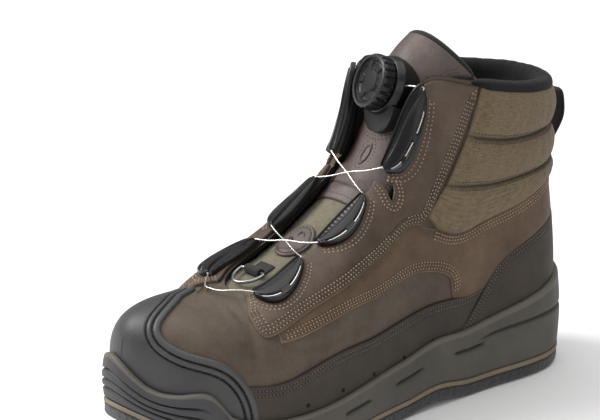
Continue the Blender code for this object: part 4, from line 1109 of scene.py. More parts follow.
class Panel:
    """A flat piece on the upper with a rounded edge, its seams' grooves, and lines for its stitches."""

    def __init__(self, name, place, side, thick, base=SEAT, columns=120, rows=14, round_edge=0.0009,
                 grooves=(), under=(), plain=(), open_ends=(), sink=None):
        self.name, self.place, self.side, self.thick, self.base = name, place, side, thick, base
        self.grooves, self.under, self.plain = grooves, under, plain
        self.round_edge, self.sink = round_edge, sink
        middle = self.skin_at(np.linspace(0, 1, 201), 0.5)
        length = float(np.sum(np.linalg.norm(np.diff(middle, axis=0), axis=1)))
        near = EDGE_ROWS[:9] / length
        start = [0.0] if "start" in open_ends else list(near)
        end = [0.0] if "end" in open_ends else list(near)
        inner = np.linspace(start[-1], 1 - end[-1], columns)[1:-1]
        self.f = np.array(start + list(inner) + [1 - v for v in reversed(end)])
        cross = self.skin_at(self.f[:, None], np.linspace(0, 1, 33)[None, :])
        width = np.sum(np.linalg.norm(np.diff(cross, axis=1), axis=2), axis=1)
        g = []
        for wide in width:
            edge = EDGE_ROWS * min(1.0, 0.48 * wide / EDGE_ROWS[-1]) / max(wide, 1e-6)
            g.append(np.concatenate([edge, np.linspace(edge[-1], 1 - edge[-1], rows)[1:-1], 1 - edge[::-1]]))
        self.g, self.width = np.array(g), width
        closed = [key for key in ("low", "high", "start", "end") if key not in open_ends]
        self.outlines = {key: self.skin_at(*self.edge(key, 900)) for key in closed}

    @staticmethod
    def edge(key, count):
        t = np.linspace(0, 1, count)
        flat = np.zeros_like(t)
        return {"low": (t, flat), "high": (t, flat + 1), "start": (flat, t), "end": (flat + 1, t)}[key]

    def places(self, f, g):
        around, up = self.place(np.asarray(f, float), np.asarray(g, float))
        return on_side(around, self.side), up

    def skin_at(self, f, g):
        return skin(*self.places(f, g))

    def height(self, face, f=None):
        """Height, seam and rim at points of the upper's face."""
        away = {key: from_line(face, line) for key, line in self.outlines.items()}
        bare = [value for key, value in away.items() if key not in self.under]
        nearest = functools.reduce(np.minimum, bare)
        rise = 0.25 + 0.75 * rounded(nearest / self.round_edge)
        for key in self.under:
            rise = rise * (0.25 + 0.75 * ease(away[key], 0.0015, 0.0065))
        if self.sink is not None and f is not None:
            rise = rise * (1 - self.sink(f) * (1 - 0.25 - 0.75 * ease(away["low"], 0.001, 0.006)))
        top = self.base + self.thick * rise
        seam = np.zeros_like(top)
        for key, from_edge, depth, half in self.grooves:
            dip = bell(away[key], from_edge, half)
            for other in away:
                if other != key and other not in self.under:
                    dip = dip * ease(away[other], from_edge * 0.6, from_edge)
            if self.sink is not None and f is not None:
                dip = dip * (1 - self.sink(f))
            top = top - depth * dip
            seam = np.maximum(seam, dip)
        lit = [value for key, value in away.items() if key not in self.under and key not in self.plain]
        rim = 1 - ease(functools.reduce(np.minimum, lit), 0.0002, 0.0007) if lit else np.zeros_like(top)
        dark = [value for key, value in away.items() if key in self.plain]
        if dark:
            seam = np.maximum(seam, 0.8 * (1 - ease(functools.reduce(np.minimum, dark), 0.0001, 0.0006)))
        if self.sink is not None and f is not None:
            rim = rim * (1 - self.sink(f))
        return top, seam, rim

    def build(self, material, slot, *nodes):
        f, g = np.broadcast_arrays(self.f[:, None], self.g)
        around, up = self.places(f, g)
        face, out = skin(around, up), skin_out(around, up)
        top_height, seam, rim = self.height(face, f)
        top = face + out * top_height[..., None]
        low = face + out * (self.base - 0.0002)
        along = run_along(face[:, face.shape[1] // 2])
        uv = np.stack([np.broadcast_to(along[:, None], f.shape), g * self.width[:, None]], axis=-1)
        obj = slab(self.name, top, low, material, {"seam": seam, "rim": rim}, uv, 60)
        return settle(obj, slot, *nodes)

    def sew(self, kind, key, distance, start=0.0, end=1.0, clear=0.75, **options):
        """A row of stitches inside one edge, kept clear of the others."""
        f, g = self.edge(key, 700)
        keep = (f >= start) & (f <= end) if key in ("low", "high") else (g >= start) & (g <= end)
        around, up = self.place(f[keep], g[keep])
        middle = len(around) // 2
        f_in, g_in = (f[keep][middle], 0.5) if key in ("low", "high") else (0.5, g[keep][middle])
        inward = np.array(self.place(f_in, g_in)) - (around[middle], up[middle])
        best = None
        for sign in (1, -1):
            a, u = shifted(around, up, sign * distance)
            score = np.dot(np.array((a[middle], u[middle])) - (around[middle], up[middle]), inward)
            if best is None or score > best[0]:
                best = score, a, u
        a, u = best[1], np.clip(best[2], 0, 1)
        a = on_side(a, self.side)
        face = skin(a, u)
        kept = from_line(face, self.outlines[key]) > distance * 0.93
        for other, line in self.outlines.items():
            if other != key and other not in self.under:
                kept &= from_line(face, line) > distance * clear
        height = self.height(face)[0]
        out = skin_out(a, u)
        for part in runs(kept):
            stitches(kind, (face + out * height[:, None])[part], out[part], **options)


# Upper
UPPER_ROWS = 54


def pad(around, up):
    """Thickness of the upper's wall, with the collar's foam."""
    at = np.where(around > 1, 2 - around, around)
    foam = ease(-at, -0.44, -0.34) * ease(up, 0.62, 0.80) * (1 - 0.35 * ease(up, 0.90, 1.0))
    return WALL + COLLAR_PAD * foam


def notch_tool(side):
    place = placer(NOTCH)
    f, g = np.meshgrid(np.linspace(0, 1, 13), np.linspace(0, 1, 17), indexing="ij")
    around, up = place(f, g)
    narrow = 1 - 0.9 * (1 - ease(g, -0.02, 0.10))
    middle = place(np.full_like(f, 0.5), g)[0]
    around = on_side(middle + (around - middle) * narrow, side)
    face = skin(around, np.minimum(up, 1.0))
    rise = unit(skin(around, np.ones_like(up)) - skin(around, np.full_like(up, 0.97)))
    face = face + rise * (np.maximum(up - 1.0, 0) * 0.08)[..., None]
    out = skin_out(around, np.minimum(up, 1.0))
    return slab("tool", face + out * 0.007, face - out * 0.006, None, smooth_angle=0)


def creases(around, up):
    """The leather's own relief: soft folds where the foot bends, and a few fine wrinkles beside them."""
    at = np.where(around > 1, 2 - around, around)
    low = np.zeros_like(at * up)
    for a, u, turn, long, wide, deep in CREASES:
        c, s = math.cos(turn), math.sin(turn)
        x, y = (at - a) * 0.38, (up - u) * 0.11
        along, across = c * x + s * y, -s * x + c * y
        low = low + deep * np.exp(-((along / long) ** 2)) * np.exp(-((across / wide) ** 2))
    return low


CREASES = [
    # around, up, turn, half length, half width and depth in metres
    (0.690, 0.46, 0.55, 0.016, 0.0022, -0.0006),
    (0.715, 0.42, 0.70, 0.014, 0.0020, -0.0005),
    (0.742, 0.62, 1.10, 0.014, 0.0026, -0.0006),
    (0.760, 0.72, 1.20, 0.012, 0.0024, -0.0005),
    (0.725, 0.55, 0.80, 0.018, 0.0045, 0.0006),
    (0.640, 0.38, 0.30, 0.018, 0.0022, -0.0005),
    (0.600, 0.34, 0.22, 0.020, 0.0030, -0.0005),
    (0.790, 0.80, 1.30, 0.012, 0.0030, -0.0004),
]


def make_upper():
    half = np.unique(np.concatenate([np.linspace(0, RIDGE_FROM, 150), np.linspace(RIDGE_FROM, 1, 60)]))
    around = np.concatenate([half, 2 - half[-2:0:-1]])
    count = len(around)
    ups = np.linspace(0, 1, UPPER_ROWS)
    a, u = np.meshgrid(around, ups, indexing="ij")
    face, out = skin(a, u), skin_out(a, u)
    outer = face + out * creases(a, u)[..., None]
    inner = face - out * pad(a, u)[..., None]
    ridge = np.where((around >= RIDGE_FROM) & (around <= 2 - RIDGE_FROM))[0]
    for i in ridge:
        k = (count - i) % count
        inner[i, -1] = inner[k, -1] = (inner[i, -1] + inner[k, -1]) / 2
    points = np.vstack([outer.reshape(-1, 3), inner.reshape(-1, 3)])
    faces = grid_faces(count, UPPER_ROWS, 0, wrap=True)
    slots = [0] * len(faces)
    inside = [tuple(reversed(f)) for f in grid_faces(count, UPPER_ROWS, count * UPPER_ROWS, wrap=True)]
    faces += inside
    slots += [1] * len(inside)
    low = count * UPPER_ROWS
    top = UPPER_ROWS - 1
    for i in range(count):
        k = (i + 1) % count
        faces.append((i * UPPER_ROWS, low + i * UPPER_ROWS, low + k * UPPER_ROWS, k * UPPER_ROWS))
        slots.append(1)
        if not (i in ridge and k in ridge):
            a, b = i * UPPER_ROWS + top, k * UPPER_ROWS + top
            faces.append((a, b, b + low, a + low))
            slots.append(1)
    flat = np.zeros(len(points))
    at = np.where(a > 1, 2 - a, a)
    # Painted shade for the vamp: the mark low covers the upper except the top of the vamp towards the throat,
    # darkening its sides and lower parts.
    side = 1 - ease(u, 0.34, 0.72) * ease(at, 0.58, 0.72)
    marks = {"seam": flat, "rim": flat, "low": np.tile(side.ravel(), 2)}
    obj = mesh_from("upper_shell", points, faces, LOOK["vamp"], 50, merge=1e-6, marks=marks, face_slots=slots)
    obj.data.materials.append(LOOK["lining"])
    for side in SIDES.values():
        cut(obj, notch_tool(side))
    return settle(obj, "leather", "upper")


# Panels
def round_the_heel(place):
    def whole(f, g):
        near = np.abs(2 * f - 1)
        around, up = place(near, g)
        return np.where(f < 0.5, -around, around), up

    return whole


TOE_ROWS = (0.0042, 0.0078)
RAND_ROWS = (0.0024, 0.0050)
RAND_TUCK = (0.020, 0.014)
COUNTER_ROWS = (0.0022, 0.0046)
TRIPLE = (0.0020, 0.0039, 0.0058)


def make_toe_cap():
    """One piece over the toe. Its two halves are drawn from the tip's middle line out to the edge."""
    places = {name: placer(table, 1.0) for name, table in TOE_CAP_EDGE.items()}
    half = np.linspace(0, 1, 150)
    f = np.concatenate([half, half[-2::-1]])
    on_outer = (np.arange(len(f)) < len(half))[:, None]

    def place(f, g):
        around, up = places["outer"](f, g)
        other, other_up = places["inner"](f, g)
        return np.where(on_outer, around, 2 - other), np.where(on_outer, up, other_up)

    cross = skin(*place(f[:, None], np.linspace(0, 1, 41)[None, :]))
    wide = np.sum(np.linalg.norm(np.diff(cross, axis=1), axis=2), axis=1)
    near = np.concatenate([EDGE_ROWS, np.arange(0.0064, 0.0112, 0.0004)])
    edges = near[None, :] * np.minimum(1, 0.9 * wide / near[-1])[:, None] / wide[:, None]
    rows = [np.concatenate([np.linspace(0, 1 - edge[-1], 26)[:-1], 1 - edge[::-1]]) for edge in edges]
    g = np.array(rows)
    columns, count = g.shape
    around, up = place(np.broadcast_to(f[:, None], g.shape), g)
    face, out = skin(around, up), skin_out(around, up)
    lines = {}
    for name, side in SIDES.items():
        a, u = places[name](np.linspace(0, 1, 900), np.ones(900))
        lines[name] = (on_side(a, side), u)
    border = np.vstack([skin(*line) for line in lines.values()])
    away = from_line(face, border)
    height = SEAT + OVERLAY * (0.25 + 0.75 * rounded(away / 0.0010))
    seam = np.maximum(bell(away, TOE_ROWS[0], 0.00050), bell(away, TOE_ROWS[1], 0.00050))
    height = height + 0.0005 * bell(away, 0.0021, 0.0013) + 0.0004 * bell(away, 0.0058, 0.0010) - 0.0011 * seam
    rim = 0.55 * ease(-away, -0.0036, -0.0030) + 0.30 * bell(away, 0.0058, 0.0011)
    top = face + out * height[..., None]
    low = face + out * (SEAT - 0.0002)
    points = np.vstack([top.reshape(-1, 3), low.reshape(-1, 3)])
    shift = columns * count
    faces = grid_faces(columns, count) + [tuple(reversed(q)) for q in grid_faces(columns, count, shift)]
    ends = [(j, j + 1) for j in range(count - 1)]
    ends += [((columns - 1) * count + j + 1, (columns - 1) * count + j) for j in range(count - 1)]
    for i in range(columns - 1):
        ends.append((i * count + count - 1, (i + 1) * count + count - 1))
        if max(up[i, 0], up[i + 1, 0]) < 0.03:
            ends.append(((i + 1) * count, i * count))
    faces += [(a, b, b + shift, a + shift) for a, b in ends]
    marks = {"seam": np.tile(seam.ravel(), 2), "rim": np.tile(rim.ravel(), 2)}
    cap = mesh_from("toe_cap_shell", points, faces, LOOK["toe"], 60, merge=1e-6, marks=marks)
    settle(cap, "rubber", "toe_cap")
    for a, u in lines.values():
        for distance in TOE_ROWS:
            b, v = inset(a, u, distance, lambda line: line[1][300])
            for part in runs((v < 0.995) & (v > 0.03)):
                row = on_skin(b[part], v[part], SEAT + OVERLAY - 0.0009)
                out = skin_out(b[part], v[part])
                stitches("thread black", row, out, gap=0.0008, thread=0.00034, sink=-0.0002)


def make_rand(name, side):
    table = list(RAND_EDGE)
    for row, tuck in zip((0, -1), (RAND_TUCK[0], -RAND_TUCK[1])):
        a, b, c, d = table[row]
        table[row] = (a + tuck, b, c + tuck, d)
    rand = Panel(
        f"rand_shell_{name}", placer(table), side, OVERLAY, columns=150, under=("start", "end"),
        plain=("high",), grooves=[("high", distance, 0.00045, 0.0004) for distance in RAND_ROWS],
    )
    rand.build(LOOK["rand"], "rubber", f"rand_{name}")
    for distance in RAND_ROWS:
        rand.sew("thread brown", "high", distance, 0.02, 0.98, pitch=0.0021, sink=-0.0001, thread=0.00034)
    holes = []
    for around, up in DRAIN_HOLES:
        place = on_side(around, side)
        out = skin_out(place, np.array(up))
        along = unit(np.cross([0, 0, 1.0], out))
        rise = np.cross(out, along)
        top = skin(place, np.array(up)) + out * (SEAT + OVERLAY)
        points = [
            top + out * high + reach * (math.cos(t) * along + math.sin(t) * rise)
            for reach, high in DRAIN_PROFILE
            for t in np.linspace(0, 2 * math.pi, 25)[:-1]
        ]
        holes.append((points, ring_faces(4, 24, 3)))
    # The holes are all black: the eyelets are black, and the black of their bottoms is painted shade for the
    # dark inside of a hole.
    settle(join_parts(f"drain_holes_{name}", holes, LOOK["lining"]), "plastic")


DRAIN_HOLES = [
    # around, up
    (0.657, 0.090),
    (0.595, 0.085),
    (0.535, 0.065),
    (0.480, 0.050),
    (0.432, 0.045),
]
# A hole's rim and bottom, as radius and height over the rand
DRAIN_PROFILE = [(0.00125, -0.0001), (0.0011, 0.00048), (0.0009, 0.00045), (0.0006, 0.00036)]


def make_counter():
    counter = Panel(
        "heel_counter_shell", round_the_heel(placer(COUNTER_EDGE)), 1, OVERLAY * 1.15, columns=190, rows=26,
        plain=("high",), grooves=[("high", distance, 0.0004, 0.0004) for distance in COUNTER_ROWS],
    )
    counter.build(LOOK["rand"], "rubber", "heel_counter")
    for distance in COUNTER_ROWS:
        counter.sew("thread brown", "high", distance, 0.01, 0.99, pitch=0.0021, sink=-0.0001, thread=0.00034)


# Edges of the quarter where it runs on under its neighbours: the rand and the counter below, the cuff above
QUARTER_TUCKED = [
    # low_around, low_up, high_around, high_up
    (0.704, 0.498, 0.706, 0.560),
    (0.664, 0.486, 0.676, 0.628),
    (0.616, 0.462, 0.619, 0.612),
    (0.575, 0.422, 0.570, 0.592),
    (0.538, 0.380, 0.526, 0.562),
    (0.480, 0.322, 0.490, 0.526),
    (0.440, 0.290, 0.466, 0.485),
    (0.416, 0.271, 0.450, 0.450),
    (0.404, 0.238, 0.430, 0.434),
    (0.398, 0.175, 0.408, 0.438),
    (0.366, 0.150, 0.362, 0.480),
    (0.330, 0.205, 0.306, 0.540),
    (0.285, 0.290, 0.250, 0.595),
    (0.210, 0.360, 0.180, 0.645),
    (0.110, 0.400, 0.090, 0.668),
    (0.003, 0.410, 0.003, 0.675),
]
QUARTER_SINK = (0.52, 0.60)


def make_quarter(name, side):
    quarter = Panel(
        f"quarter_shell_{name}", placer(QUARTER_TUCKED), side, OVERLAY, columns=220, rows=17,
        grooves=[("low", distance, 0.0003, 0.0004) for distance in TRIPLE],
        under=("high",), open_ends=("end",), sink=lambda f: ease(f, *QUARTER_SINK),
    )
    quarter.build(LOOK["quarter"], "leather", f"quarter_{name}")
    for distance in TRIPLE:
        quarter.sew("thread tan", "low", distance, 0.012, 0.575)
        t = np.linspace(0.0, 1.0, 400)
        around = t * CUFF_FRONT[0]
        up = np.array([CUFF_LINES[0](v) for v in t])
        around, up = inset(around, up, distance, mean_up)
        around = on_side(around, side)
        face, out = skin(around, up), skin_out(around, up)
        for part in runs(t < 0.965):
            stitches("thread tan", (face + out * (SEAT + OVERLAY))[part], out[part])


def make_eyestay(name, side):
    eyestay = Panel(
        f"eyestay_shell_{name}", placer(EYESTAY_EDGE), side, EYESTAY, columns=210, rows=20, plain=("high",),
        grooves=[("low", distance, 0.0003, 0.0004) for distance in TRIPLE],
    )
    obj = eyestay.build(LOOK["eyestay"], "leather", f"eyestay_{name}")
    cut(obj, notch_tool(side))
    for distance in TRIPLE:
        eyestay.sew("thread tan", "low", distance, 0.01, 0.99)
    for distance in TRIPLE[:2]:
        eyestay.sew("thread tan", "start", distance, 0.06, 0.97)
        eyestay.sew("thread tan", "end", distance, 0.03, 0.97)
    place = placer(NOTCH)
    t = np.linspace(0, 1, 60)
    down = place(np.zeros(60), 1 - 0.98 * t)
    foot = place(np.linspace(0, 1, 20), np.full(20, 0.0))
    rise = place(np.ones(60), 0.02 + 0.98 * t)
    line = np.vstack([np.column_stack(part) for part in (down, foot, rise)])
    for _ in range(30):
        line[1:-1] = (line[:-2] + 2 * line[1:-1] + line[2:]) / 4
    for away in (0.0020, 0.0040):
        around, up = inset(*line.T, away, lambda moved: moved[1].min())
        around = on_side(around, side)
        for part in runs(up < 0.955):
            points = on_skin(around[part], up[part], SEAT + EYESTAY)
            stitches("thread tan", points, skin_out(around[part], up[part]))




# Cuff and collar
def cuff_place(f, g):
    """f runs from the inner front edge at -1 to the outer one at 1, and g up over the three rolls."""
    fine = np.linspace(0, 1, 201)
    lines = np.array([[curve(v) for v in fine] for curve in CUFF_LINES])
    at = [np.interp(np.abs(f), fine, line) for line in lines]
    roll = np.minimum(2, (g * 3).astype(int))
    low = np.choose(roll, at[:3])
    high = np.choose(roll, at[1:])
    low = low + np.where(roll == 0, 0.035 * ease(np.abs(f), 0.955, 1.0), 0)
    up = low + (high - low) * (g * 3 - roll)
    front = np.interp(g * 3, range(4), CUFF_FRONT)
    return f * front, up


def make_cuff():
    columns, rows = 231, 91
    f, g = np.meshgrid(np.linspace(-1, 1, columns), np.linspace(0, 1, rows), indexing="ij")
    around, up = cuff_place(f, g)
    phase = (g * 3) % 1
    phase[:, -1] = 1.0
    fill = np.sin(np.pi * phase) ** 0.62 * ease(-np.abs(f), -1.0, -0.93)
    height = CUFF + CUFF_ROLL * fill * (0.55 + 0.45 * ease(g, 0.1, 0.7))
    wrinkle = 0.00035 * np.sin(f * 61 + 3 * g) * np.sin(f * 23 + 1.3) * np.sin(np.pi * phase) ** 0.5
    height = height + wrinkle * ease(-np.abs(f), -1.0, -0.9)
    seam = np.zeros_like(f)
    for line in (1, 2):
        near = (g * 3 - line)
        seam = np.maximum(seam, np.exp(-((near / 0.045) ** 2)))
    seam = np.maximum(seam, 0.7 * bell(g, 0.0, 0.012))
    seam = np.maximum(seam, 0.5 * bell(1 - np.abs(f), 0.0, 0.006))
    height = height - 0.0006 * seam
    out, face = skin_out(around, up), skin(around, up)
    top = face + out * height[..., None]
    low = face + out * (SEAT - 0.0002)
    along, rise = run_along(face[:, rows // 2]), run_along(top[columns // 2])
    uv = np.stack([np.broadcast_to(along[:, None], f.shape), np.broadcast_to(rise[None, :], f.shape)], axis=-1)
    cuff = slab("cuff_cover", top, low, LOOK["canvas"], {"seam": seam, "rim": np.zeros_like(f)}, uv, 70)
    settle(cuff, "canvas", "collar_cuff")
    for line in (1, 2):
        for step in (-1, 1):
            share = np.clip((line + step * 0.085) / 3, 0, 1)
            t = np.linspace(-0.985, 0.985, 300)
            a, u = cuff_place(t, np.full_like(t, share))
            row = int(round(share * (rows - 1)))
            lift = np.interp(t, f[:, row], height[:, row])
            points = on_skin(a, u, lift)
            stitches("thread dark", points, skin_out(a, u), pitch=0.0026, thread=0.0003)


def make_collar():
    """The black lining: a padded roll over the collar's edge and down inside, thin along the front."""
    around = np.linspace(-0.462, 0.462, 241)
    at = np.abs(around)
    full = ease(-at, -0.385, -0.345)
    top = skin(around, np.ones_like(around))
    rise = unit(top - skin(around, np.full_like(around, 0.96)))
    out = skin_out(around, np.full_like(around, 0.985))
    out = unit(out - np.sum(out * rise, axis=1)[:, None] * rise)
    wrinkle = 0.4 * np.sin(around * 120) * np.sin(around * 57 + 1.0)
    lines = []
    # n is out from the face, u is up past the edge, both in metres, for a thin and a full roll
    for k, (thin, thick) in enumerate(zip(COLLAR_THIN, COLLAR_THICK)):
        n = thin[0] + (thick[0] - thin[0]) * full
        u = thin[1] + (thick[1] - thin[1]) * full
        u = u + 0.0005 * wrinkle * full * (2 < k < 9)
        lines.append(top + out * n[:, None] + rise * u[:, None])
    for up in np.linspace(0.955, 0.34, 16):
        u = np.full_like(around, up)
        depth = pad(np.where(around < 0, around + 2, around), u) + 0.0012 + 0.0015 * full * bell(up, 0.9, 0.12)
        depth = depth + 0.0004 * np.sin(around * 110 + 2 * up) * full * bell(up, 0.72, 0.12)
        lines.append(skin(around, u) - skin_out(around, u) * depth[:, None])
    face = np.stack(lines, axis=1)
    count = face.shape[1]
    smooth = np.stack([smooth_line(column, 2 * count) for column in face])
    along = np.gradient(smooth, axis=0)
    down = np.gradient(smooth, axis=1)
    normal = unit(np.cross(along, down))
    if np.mean(np.sum(normal[:, 20] * rise, axis=1)) < 0:
        normal = -normal
    back = smooth - normal * 0.0010
    drop = run_along(smooth[len(smooth) // 2])
    uv = np.stack(np.broadcast_arrays(run_along(top)[:, None], drop[None, :]), axis=-1)
    collar = slab("collar_lining", smooth, back, LOOK["lining"], None, uv, 80)
    settle(collar, "lining")


COLLAR_THICK = [
    # out from the upper's face, up past its edge
    (0.0034, -0.0034), (0.0038, -0.0020), (0.0034, -0.0004), (0.0024, 0.0010), (0.0006, 0.0020),
    (-0.0016, 0.0024), (-0.0040, 0.0020), (-0.0062, 0.0008), (-0.0076, -0.0012), (-0.0084, -0.0038),
]
COLLAR_THIN = [
    (-0.0004, -0.0016), (-0.0003, -0.0012), (-0.0002, -0.0007), (-0.0003, -0.0003), (-0.0006, 0.0001),
    (-0.0010, 0.0003), (-0.0016, 0.0002), (-0.0022, -0.0002), (-0.0030, -0.0010), (-0.0034, -0.0022),
]


# Sole
SOLE_STEPS = 241
ALONG = np.linspace(0, 1, SOLE_STEPS)
RING = [(float(at), 1) for at in ALONG] + [(float(at), -1) for at in ALONG[-2:0:-1]]
RING_AT = np.array([at for at, side in RING])
EDGE_POINTS = np.array([edge_point(at, side) for at, side in RING])
EDGE_OUTS = np.array([edge_out(at, side) for at, side in RING])
# The bumper's top edge, corrected from the photo: where along the foot, and by how much on each side
BUMPER = {
    1: [
        (0.73, 0.0), (0.76, -0.0016), (0.78, -0.0034), (0.795, -0.0006), (0.81, 0.0012),
        (0.825, 0.0004), (0.84, -0.0010), (0.86, -0.0030), (0.88, -0.0044), (0.90, -0.0055),
        (0.93, -0.0060), (0.96, -0.0050), (0.98, -0.0038), (1.0, -0.0020),
    ],
    -1: [
        (0.80, 0.0), (0.84, 0.0020), (0.88, 0.0038), (0.93, 0.0040), (0.96, 0.0028), (0.98, 0.0004),
        (1.0, -0.0020),
    ],
}


def lip_height(at, side):
    return lip(at) + float(np.interp(at, *zip(*BUMPER[side])))


LIPS = np.array([lip_height(at, side) for at, side in RING])
BASES = np.array([midsole_base(share_along(at)) for at, side in RING])
FLOORS = np.array([floor_lift(share_along(at)) for at, side in RING])
FOOTBEDS = np.array([footbed(share_along(at)) for at, side in RING])


def lip_reach(at, side):
    """How far outside the sole's edge the lip stands: it clears what lies on the upper, by its own wall."""
    around = on_side(at, side)
    ups = np.linspace(0, 0.6, 241)
    points = skin(np.full_like(ups, around), ups)
    low = float(np.interp(lip_height(at, side), points[:, 2], ups))
    point = skin(np.array(around), np.array(low))[:2]
    return float(np.dot(point - edge_point(at, side), edge_out(at, side))) + OVERLAY + 2 * CLEARANCE + LIP_WALL


LIP_REACHES = np.array([lip_reach(at, side) for at, side in RING])


def ring_at(height, out):
    flat = EDGE_POINTS + np.broadcast_to(out, RING_AT.shape)[:, None] * EDGE_OUTS
    return np.column_stack([flat, np.broadcast_to(height, RING_AT.shape)])


def ladder(start, count):
    """Faces across a ring, from each side to the other."""
    faces = []
    for i in range(count // 2):
        corners = [start + i, start + i + 1, start + (count - i - 1) % count, start + (count - i) % count]
        ids = list(dict.fromkeys(corners))
        if len(ids) > 2:
            faces.append(tuple(ids))
    return faces


def loft(name, rings, material, marks=None, smooth_angle=40, **options):
    count = len(RING)
    faces = ring_faces(len(rings), count)
    faces += ladder(0, count) + ladder((len(rings) - 1) * count, count)
    return mesh_from(name, np.vstack(rings), faces, material, smooth_angle, marks=marks, **options)


def groove_depth(at, name):
    toe = 1.15 * TOE_GROOVE * ease(at, 0.80, 0.845)
    heel = HEEL_GROOVE * ease(-at, -0.37, -0.33) if name == "middle" else 0.0
    return toe + heel


def groove_height(at, name):
    heel, toe = GROOVES[name]
    if name == "middle":
        heel = heel + (0.72 - heel) * np.minimum(1.0, at / 0.33)
    return heel + (toe - heel) * ease(at, 0.55, 0.75)


def make_midsole():
    tall = LIPS - BASES
    rings, seams, rims = [], [], []
    foot_rows, top_rows = [0.0, 0.015, 0.04], [0.965, 0.98, 0.99, 0.997, 1.0]
    for rise in np.concatenate([foot_rows, np.linspace(0.07, 0.95, 50), top_rows]):
        reach = LIP_REACHES * rise**1.5 + MIDSOLE_BULGE * math.sin(math.pi * rise)
        seam = np.zeros_like(RING_AT)
        # seam darkens the grooves in step with their depth, and the dashes below: painted shade in these
        # recesses.
        for name in GROOVES:
            depth = groove_depth(RING_AT, name)
            dip = bell(rise, groove_height(RING_AT, name), GROOVE_HALF * 0.62)
            reach = reach - depth * dip
            seam = np.maximum(seam, dip * depth / HEEL_GROOVE * 0.8)
        for start, end in DASHES:
            middle, half = (start + end) / 2, (end - start) / 2
            taper = np.clip(1 - ((RING_AT - middle) / half) ** 4, 0, 1)
            high = 0.62 + (0.52 - 0.62) * (RING_AT - 0.34) / 0.36
            dip = bell((rise - high) * tall, 0, DASH_HALF * (0.35 + 0.55 * taper)) * ease(taper, 0, 0.5)
            reach = reach - 0.0017 * dip
            seam = np.maximum(seam, dip)
        edge = 0.0010 * (1 - math.sqrt(max(0, 1 - max(0, (rise - 0.95) / 0.05) ** 2)))
        foot = 0.0010 * max(0, 1 - rise / 0.04) ** 2
        rings.append(ring_at(BASES + tall * rise, reach - edge - foot))
        seams.append(seam)
        rims.append(np.full_like(RING_AT, 0.75 * float(ease(rise, 0.90, 0.94))))
    wall = OVERLAY + 2 * CLEARANCE
    around = np.array([on_side(at, side) for at, side in RING])
    ups = np.linspace(0, 0.6, 121)
    heights = skin(around[:, None], ups[None, :])[..., 2]
    lip_up = np.array([np.interp(lip_z, row, ups) for lip_z, row in zip(LIPS, heights)])
    for share in np.linspace(1, 0, 12):
        u = lip_up * share
        ring = on_skin(around, u, np.full_like(u, wall))
        if share == 1:
            ring[:, 2] = LIPS
        if share == 0:
            ring[:, 2] = FOOTBEDS - CLEARANCE
        rings.append(ring)
        seams.append(np.zeros_like(RING_AT))
        rims.append(np.full_like(RING_AT, 0.75 if share == 1 else 0.0))
    toe = [ease(RING_AT, 0.74, 0.80)] * len(rings)
    marks = {"seam": np.concatenate(seams), "rim": np.concatenate(rims), "toe": np.concatenate(toe)}
    settle(loft("midsole_wall", rings, LOOK["midsole"], marks, 35), "midsole", "midsole")


def wobble(x, y, z):
    """A repeatable fine unevenness, about one unit high."""
    return (
        np.sin(x * 2100 + 1.3 * np.sin(y * 900)) * np.sin(y * 1900 + z * 700)
        + 0.6 * np.sin(x * 4300 + y * 3100) * np.sin(y * 4700 - x * 1300 + z * 2600)
    )


# A layer's edge from below to above, as a share of its thickness and how far it draws in
FELT_ROUND = [
    (0.0, 0.0022), (0.08, 0.0012), (0.2, 0.0004), (0.35, 0.0), (0.5, 0.0), (0.65, 0.0), (0.8, 0.0),
    (0.92, 0.0001), (1.0, 0.0006),
]
STRIPE_ROUND = [(0.0, 0.0006), (0.12, 0.0001), (0.3, 0.0), (0.7, 0.0), (0.88, 0.0001), (1.0, 0.0006)]
INSOLE_ROUND = [(0.0, 0.0), (0.8, 0.0), (1.0, 0.0012)]


def make_sole():
    rings = []
    for rise, inward in FELT_ROUND:
        ring = ring_at(FLOORS + FELT * rise, -inward)
        rough = wobble(ring[:, 0], ring[:, 1], ring[:, 2] + rise)
        ring[:, :2] += EDGE_OUTS * (0.00022 * rough - 0.0002)[:, None]
        if rise > 0:
            ring[:, 2] += 0.00012 * rough * (rise < 1)
        rings.append(ring)
    settle(loft("felt_sole", rings, LOOK["felt"], None, 60), "felt", "outsole")
    bottom = FLOORS + FELT + CLEARANCE
    rings = [ring_at(bottom + STRIPE * rise, STRIPE_PROUD - inward) for rise, inward in STRIPE_ROUND]
    marks = {key: np.zeros(len(rings) * len(RING)) for key in ("seam", "rim", "toe")}
    settle(loft("stripe_band", rings, LOOK["stripe"], marks, 50), "stripe", "sole_stripe")
    within = SOLE_EDGE + WALL + 2 * CLEARANCE
    rings = [ring_at(FOOTBEDS + CLEARANCE + INSOLE * rise, -within - inward) for rise, inward in INSOLE_ROUND]
    footing = loft("footbed", rings, LOOK["footbed"], None, 50, uv=np.vstack(rings)[:, :2])
    settle(footing, "lining", "insole")


# Tongue
TONGUE_LENGTH = 0.245
TONGUE_AT = np.linspace(0, 1, 401)


def tongue_line(at):
    along, high = TONGUE_CURVES[0](at), TONGUE_CURVES[1](at)
    step = 0.01
    run = y_of(TONGUE_CURVES[0](at + step)) - y_of(TONGUE_CURVES[0](at - step))
    rise = top_height(TONGUE_CURVES[1](at + step)) - top_height(TONGUE_CURVES[1](at - step))
    size = math.hypot(run, rise)
    middle = np.array([TONGUE_SHIFT * (1 - at), y_of(along), top_height(high)])
    return middle, np.array([0.0, -rise / size, run / size])


TONGUE_LINES = np.array([np.concatenate(tongue_line(float(at))) for at in TONGUE_AT])
TONGUE_HALVES = np.array([TONGUE_CURVES[2](float(at)) * TONGUE_WIDTH / 2 for at in TONGUE_AT])
TONGUE_DROPS = np.array([TONGUE_CURVES[3](float(at)) * TONGUE_WIDTH for at in TONGUE_AT])


